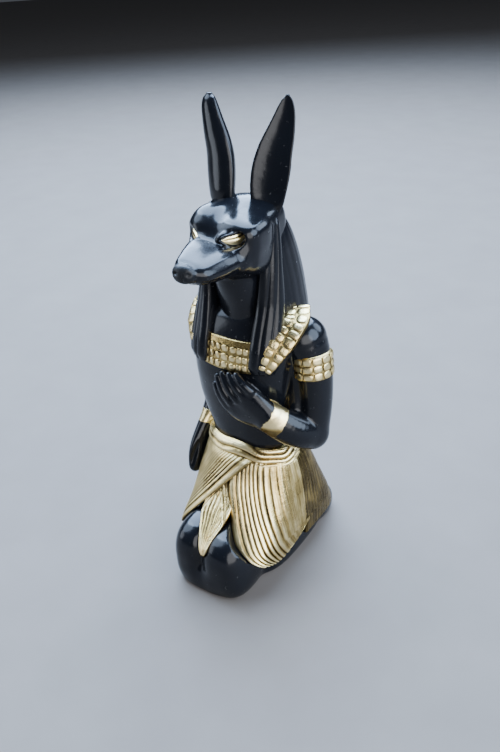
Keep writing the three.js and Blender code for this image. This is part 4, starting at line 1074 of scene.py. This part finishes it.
# %% Node tree for rows of blocks
def block_tree():
    tree = bpy.data.node_groups.new("rows_of_blocks", "GeometryNodeTree")
    face = tree.interface
    face.new_socket("Guide", in_out="INPUT", socket_type="NodeSocketGeometry")
    face.new_socket("Fullness", in_out="INPUT", socket_type="NodeSocketFloat")
    face.new_socket("Squareness", in_out="INPUT", socket_type="NodeSocketFloat")
    face.new_socket("Unevenness", in_out="INPUT", socket_type="NodeSocketFloat")
    face.new_socket("Seed", in_out="INPUT", socket_type="NodeSocketInt")
    face.new_socket("Paint", in_out="INPUT", socket_type="NodeSocketMaterial")
    face.new_socket("Blocks", in_out="OUTPUT", socket_type="NodeSocketGeometry")
    nodes, links = tree.nodes, tree.links
    given, made = nodes.new("NodeGroupInput"), nodes.new("NodeGroupOutput")

    def node(kind, **settings):
        item = nodes.new(kind)
        for key, value in settings.items():
            setattr(item, key, value)
        return item

    def vector(operation, a, b=None):
        item = node("ShaderNodeVectorMath", operation=operation)
        links.new(a, item.inputs[0])
        if b is not None:
            links.new(b, item.inputs[3 if operation == "SCALE" else 1])
        return item.outputs["Value" if operation == "DOT_PRODUCT" else "Vector"]

    def power(value, exponent):
        item = node("ShaderNodeMath", operation="POWER")
        links.new(value, item.inputs[0])
        links.new(exponent, item.inputs[1])
        return item.outputs[0]

    cube = node("GeometryNodeMeshCube")
    cube.inputs["Size"].default_value = (2, 2, 2)
    for side in "XYZ":
        cube.inputs[f"Vertices {side}"].default_value = 4
    position = node("GeometryNodeInputPosition").outputs[0]
    parts = node("ShaderNodeSeparateXYZ")
    links.new(vector("ABSOLUTE", position), parts.inputs[0])
    total = None
    for output in parts.outputs:
        term = power(output, given.outputs["Squareness"])
        if total is None:
            total = term
            continue
        add = node("ShaderNodeMath", operation="ADD")
        links.new(total, add.inputs[0])
        links.new(term, add.inputs[1])
        total = add.outputs[0]
    inverse = node("ShaderNodeMath", operation="DIVIDE")
    inverse.inputs[0].default_value = -1
    links.new(given.outputs["Squareness"], inverse.inputs[1])
    rounded = vector("SCALE", position, power(total, inverse.outputs[0]))
    soft = node("GeometryNodeSetPosition")
    links.new(cube.outputs["Mesh"], soft.inputs["Geometry"])
    links.new(rounded, soft.inputs["Position"])
    # Each block's own height is stored as 'crest', so its paint is lighter on top and darker toward its foot: painted
    # shade between the blocks.
    crest = node("GeometryNodeStoreNamedAttribute", data_type="FLOAT", domain="POINT")
    crest.inputs["Name"].default_value = "crest"
    height = node("ShaderNodeSeparateXYZ")
    links.new(node("GeometryNodeInputPosition").outputs[0], height.inputs[0])
    links.new(soft.outputs[0], crest.inputs["Geometry"])
    links.new(height.outputs["Z"], crest.inputs["Value"])

    def guide(name):
        item = node("GeometryNodeInputNamedAttribute", data_type="FLOAT_VECTOR")
        item.inputs["Name"].default_value = name
        return item.outputs["Attribute"]

    turned = node("FunctionNodeAxesToRotation", primary_axis="Z", secondary_axis="X")
    links.new(guide("out"), turned.inputs["Primary Axis"])
    links.new(guide("along"), turned.inputs["Secondary Axis"])
    chance = node("FunctionNodeRandomValue", data_type="FLOAT_VECTOR")
    chance.inputs["Min"].default_value = (-1, -1, -1)
    chance.inputs["Max"].default_value = (1, 1, 1)
    links.new(given.outputs["Seed"], chance.inputs["Seed"])
    uneven = vector("SCALE", chance.outputs["Value"], given.outputs["Unevenness"])
    whole = node("ShaderNodeVectorMath", operation="ADD")
    whole.inputs[1].default_value = (1, 1, 1)
    links.new(uneven, whole.inputs[0])
    size = vector("SCALE", vector("MULTIPLY", guide("half_size"), whole.outputs[0]), given.outputs["Fullness"])
    place = node("GeometryNodeInstanceOnPoints")
    links.new(given.outputs["Guide"], place.inputs["Points"])
    links.new(crest.outputs["Geometry"], place.inputs["Instance"])
    links.new(turned.outputs["Rotation"], place.inputs["Rotation"])
    links.new(size, place.inputs["Scale"])
    real = node("GeometryNodeRealizeInstances")
    smooth = node("GeometryNodeSetShadeSmooth")
    paint = node("GeometryNodeSetMaterial")
    links.new(place.outputs["Instances"], real.inputs[0])
    links.new(real.outputs[0], smooth.inputs[0])
    links.new(smooth.outputs[0], paint.inputs["Geometry"])
    links.new(given.outputs["Paint"], paint.inputs["Material"])
    links.new(paint.outputs[0], made.inputs[0])
    return tree


block_rows = block_tree()


def blocks_piece(name, places, outs, alongs, half_sizes, seed, unevenness=0.12, squareness=3.4):
    guide = bpy.data.meshes.new(name)
    guide.from_pydata([tuple(p * MM) for p in places], [], [])
    for key, values, scale in (("out", outs, 1), ("along", alongs, 1), ("half_size", half_sizes, MM)):
        layer = guide.attributes.new(key, "FLOAT_VECTOR", "POINT")
        layer.data.foreach_set("vector", (np.asarray(values) * scale).astype(np.float32).ravel())
    piece = bpy.data.objects.new(name, guide)
    bpy.context.scene.collection.objects.link(piece)
    modifier = piece.modifiers.new("blocks", "NODES")
    modifier.node_group = block_rows
    settings = {"Fullness": 1.0, "Squareness": squareness, "Unevenness": unevenness, "Seed": seed, "Paint": gold}
    for item in block_rows.interface.items_tree:
        if item.item_type == "SOCKET" and item.in_out == "INPUT" and item.name in settings:
            modifier[item.identifier] = settings[item.name]
    graph = bpy.context.evaluated_depsgraph_get()
    mesh = bpy.data.meshes.new_from_object(piece.evaluated_get(graph))
    piece.modifiers.clear()
    piece.data = mesh
    print(name, len(places), "blocks", len(mesh.polygons), "faces")
    return piece


# %% Surfaces that carry the blocks
COLLAR_LOW_Z, COLLAR_HIGH_Z = 70.3, 79.4


def collar_surface(u, v, lift):
    spread_angle = math.radians(38)
    angle = -np.pi / 2 + mix(-spread_angle, spread_angle, u)
    dip = -0.7 * (1 - (2 * u - 1) ** 2)
    return torso_point(angle, mix(COLLAR_LOW_Z, COLLAR_HIGH_Z, v) + dip, lift)


strip_x = curve((0, 11.6), (0.25, 13.6), (0.5, 15.4), (0.72, 15.8), (1, 13.4))
strip_y = curve((0, -9.2), (0.25, -7.6), (0.5, -4), (0.72, 0.2), (1, 5.4))
strip_z = curve((0, 72.4), (0.25, 76.8), (0.5, 81.4), (0.72, 84.2), (1, 85.6))
strip_lean = curve((0, 8), (0.25, 16), (0.5, 40), (0.72, 62), (1, 82))
strip_half = curve((0, 1.8), (0.25, 2.8), (0.5, 3.4), (1, 3.6))


def strip_surface(side):
    pull = 1.2 if side < 0 else 0.0

    def place(t):
        return np.stack([side * (strip_x(t) - pull), strip_y(t), strip_z(t)], -1)

    def at(u, v, lift):
        u, v, lift = np.broadcast_arrays(u, v, lift)
        tilt = np.radians(strip_lean(u))
        out = np.stack([side * 0.42 * np.cos(tilt), -np.cos(tilt), np.sin(tilt)], -1)
        out = out / np.linalg.norm(out, axis=-1, keepdims=True)
        along = place(np.clip(u + 0.02, 0, 1)) - place(np.clip(u - 0.02, 0, 1))
        across = np.cross(along, out)
        across = across / np.linalg.norm(across, axis=-1, keepdims=True)
        return place(u) + across * ((2 * v - 1) * strip_half(u))[..., None] + out * lift[..., None]

    return at


def band_surface(centre, along, wide, deep, height):
    along = unit(along)
    side = unit(np.array([1, 0, 0]) - along * along[0])
    out = np.cross(along, side)

    def at(u, v, lift):
        u, v, lift = np.broadcast_arrays(u, v, lift)
        angle = 2 * np.pi * u
        return (np.asarray(centre) + along * ((v - 0.5) * height)[..., None]
                + side * ((wide + lift) * np.cos(angle))[..., None]
                + out * ((deep + lift) * np.sin(angle))[..., None])

    return at


def block_rows_on(name, surface, blocks, rows, lift, thick, seed, gap=0.03, low=0.0, high=1.0):
    places, outs, alongs, halves = [], [], [], []
    for row in range(rows):
        for block in range(blocks):
            u = (block + 0.5) / blocks
            v = mix(low, high, (row + 0.5) / rows)
            du, dv = 0.5 / blocks, 0.5 * (high - low) / rows
            centre = surface(u, v, lift)
            along = (surface(u + du, v, lift) - surface(u - du, v, lift)) / 2
            across = (surface(u, v + dv, lift) - surface(u, v - dv, lift)) / 2
            out = unit(surface(u, v, lift + 0.5) - centre)
            places.append(centre)
            outs.append(out)
            alongs.append(unit(along))
            halves.append([np.linalg.norm(along) * (1 - gap), np.linalg.norm(across) * (1 - gap), thick])
    return blocks_piece(name, np.array(places), outs, alongs, halves, seed)


def base_plate(name, surface, lift, deep, columns=70, rows=30):
    u, v = spread(columns)[None, :], spread(rows)[:, None]
    edge = rounded_edge(u, v)
    return plate_piece(name, surface(u, v, lift - 0.3 * (1 - edge)), surface(u, v, -deep + 0 * u * v))


def base_ring(name, surface, lift, rows=24, columns=96):
    u, v = np.linspace(0, 1, columns + 1)[None, :-1], np.linspace(0, 1, rows)[:, None]
    rise = lift * np.clip(np.sin(np.pi * v) * 6, 0, 1) ** 0.5 - 0.3
    ends = [surface(u, np.array([[place]]), np.array([[-2.0]])) for place in (0.0, 1.0)]
    return rings_piece(name, np.concatenate([ends[0], surface(u, v, rise + 0 * u), ends[1]]))


# %% Collar, shoulder strips and armbands
gold_bases = []
gold_bases.append(base_plate("collar_base", collar_surface, 0.55, 1.6))
collar_blocks = [block_rows_on("collar_blocks", collar_surface, 12, 3, 0.48, 0.34, 3, low=0.04, high=0.82)]
for side, name in ((1, "left"), (-1, "right")):
    strip = strip_surface(side)
    gold_bases.append(base_plate(f"shoulder_strip_{name}", strip, 0.4, 4.5))
    collar_blocks.append(block_rows_on(f"shoulder_blocks_{name}", strip, 10, 2, 0.34, 0.3, 5 + side))
for name, centre, start, end in (
    ("left", (19.5, 3.5, 70.6), (17.2, 4, 77.3), (21.4, 1.4, 48.8)), ("right", (-16.5, 8, 69.5), RIGHT_SHOULDER, RIGHT_ELBOW),
):
    band = band_surface(centre, np.array(end) - np.array(start), 4.75, 5.3, 7.4)
    gold_bases.append(base_ring(f"armband_{name}", band, 0.8))
    collar_blocks.append(block_rows_on(f"armband_blocks_{name}", band, 12, 3, 0.5, 0.3, 11, low=0.05, high=0.95))

# %% [markdown]
# ## Eyes
# A painted almond sits in each socket. It is a thin shell of its own over the eyeball, so that its
# edge stays crisp.

# %% Gold eyes
for side, name in ((1, "eye_left"), (-1, "eye_right")):
    along, share = np.linspace(-3.1, 3.2, 57)[None, :], np.linspace(0, 1, 29)[:, None]
    rise = mix(eye_low(along), eye_high(along), share)
    fold = np.exp(-((share - 0.66) / 0.09) ** 2)

    def shell(lift):
        inside = np.clip(1 - ((along - 0.1) / 4.7) ** 2 - ((rise - 0.1) / 2.7) ** 2, 0.02, 1)
        spot = eye_spot(side, along, -1.9 + (1.9 + lift) * np.sqrt(inside) - 0.16 * fold - 0.05 * rise, rise)
        return np.stack(np.broadcast_arrays(*spot), -1)

    outer, inner = shell(0.3), shell(-0.5)
    eye = plate_piece(name, turn_head(outer.reshape(-1, 3)).reshape(outer.shape),
                      turn_head(inner.reshape(-1, 3)).reshape(inner.shape))
    # Painted shade: the paint is darkened along the lid fold.
    lit = np.broadcast_to(1.0 - 0.7 * fold, outer.shape[:2]).ravel()
    mark(eye, "crest", np.concatenate([lit, lit]))

# %% Finish for each piece
GOLD = ["sash", "kilt_front_left", "kilt_front_right", "kilt_back", "tongue", "eye_left", "eye_right"]
GOLD += [piece.name for piece in gold_bases]
gold_blocks = [piece.name for piece in collar_blocks]
BLACK = ["knees_and_feet", "ear_left", "ear_right", "headcloth", "lappet_left", "lappet_right"]
for piece in gold_bases:
    mark(piece, "crest", np.full(len(piece.data.vertices), 0.6))
for name in GOLD:
    bpy.data.objects[name].data.materials.append(gold)
for name in BLACK:
    bpy.data.objects[name].data.materials.append(lacquer)
bpy.data.objects["torso_and_arms"].data.materials.append(painted)
bpy.data.objects["jackal_head"].data.materials.append(matt_nose)
BLACK += ["torso_and_arms", "jackal_head"]
print(len(GOLD) + len(gold_blocks), "gold pieces,", len(BLACK), "black pieces")

# %% [markdown]
# ## Floor and light
# The figure stands on a plain pale floor. Gloss needs something to reflect, so the main light is a wide
# soft panel overhead, cool like an overcast sky, with a weaker one in front.

# %% Floor
floor_mesh = bpy.data.meshes.new("floor")
build = bmesh.new()
bmesh.ops.create_circle(build, cap_ends=True, segments=96, radius=4.0)
build.to_mesh(floor_mesh)
build.free()
floor = bpy.data.objects.new("floor", floor_mesh)
floor.location.z = -0.0003
bpy.context.scene.collection.objects.link(floor)
pale, nodes, links, shader = new_material("pale_floor")
grain = ramp(nodes, links, noise(nodes, links, object_place(nodes), 40, 3), (0.3, (0.092, 0.075, 0.062)), (0.7, (0.104, 0.086, 0.072)))
links.new(grain, shader.inputs["Base Color"])
shader.inputs["Roughness"].default_value = 0.7
floor_mesh.materials.append(pale)

# %% Lights
def soft_panel(name, place, aim, size, power, colour):
    light = bpy.data.lights.new(name, "AREA")
    light.shape = "DISK"
    light.size = size
    light.energy = power
    light.color = colour
    lamp = bpy.data.objects.new(name, light)
    lamp.location = place
    lamp.rotation_euler = (Vector(aim) - Vector(place)).to_track_quat("-Z", "Y").to_euler()
    bpy.context.scene.collection.objects.link(lamp)


soft_panel("sky_panel", (-0.28, 0.36, 0.72), (0, 0, 0.08), 1.15, 82, (0.50, 0.69, 1.0))
soft_panel("side_panel", (0.80, 0.04, 0.54), (0, 0, 0.08), 0.88, 24, (0.60, 0.76, 1.0))
soft_panel("window_panel", (0.75, -0.68, 0.36), (0, 0, 0.06), 1.1, 17, (0.98, 0.98, 1.0))
soft_panel("back_panel", (0.42, 0.62, 0.50), (0, 0, 0.08), 0.5, 6, (0.60, 0.76, 1.0))
soft_panel("left_panel", (-0.62, -0.22, 0.70), (0, 0, 0.09), 0.7, 11, (0.60, 0.76, 1.0))
soft_panel("front_panel", (-0.42, -0.3, 0.16), (0, 0, 0.09), 0.28, 0.9, (0.8, 0.88, 1.0))
world = bpy.data.worlds.new("studio")
world.use_nodes = True
world.node_tree.nodes["Background"].inputs["Color"].default_value = (0.78, 0.86, 1.0, 1)
world.node_tree.nodes["Background"].inputs["Strength"].default_value = 0.08
bpy.context.scene.world = world

# %% [markdown]
# ## Handing over to the frame
# Every piece rides on the one body, and the one solid they stand for is hidden.

# %% Frame
for name in GOLD + gold_blocks + BLACK:
    piece = bpy.data.objects[name]
    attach(piece, "root")
    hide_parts("anubis_figure")
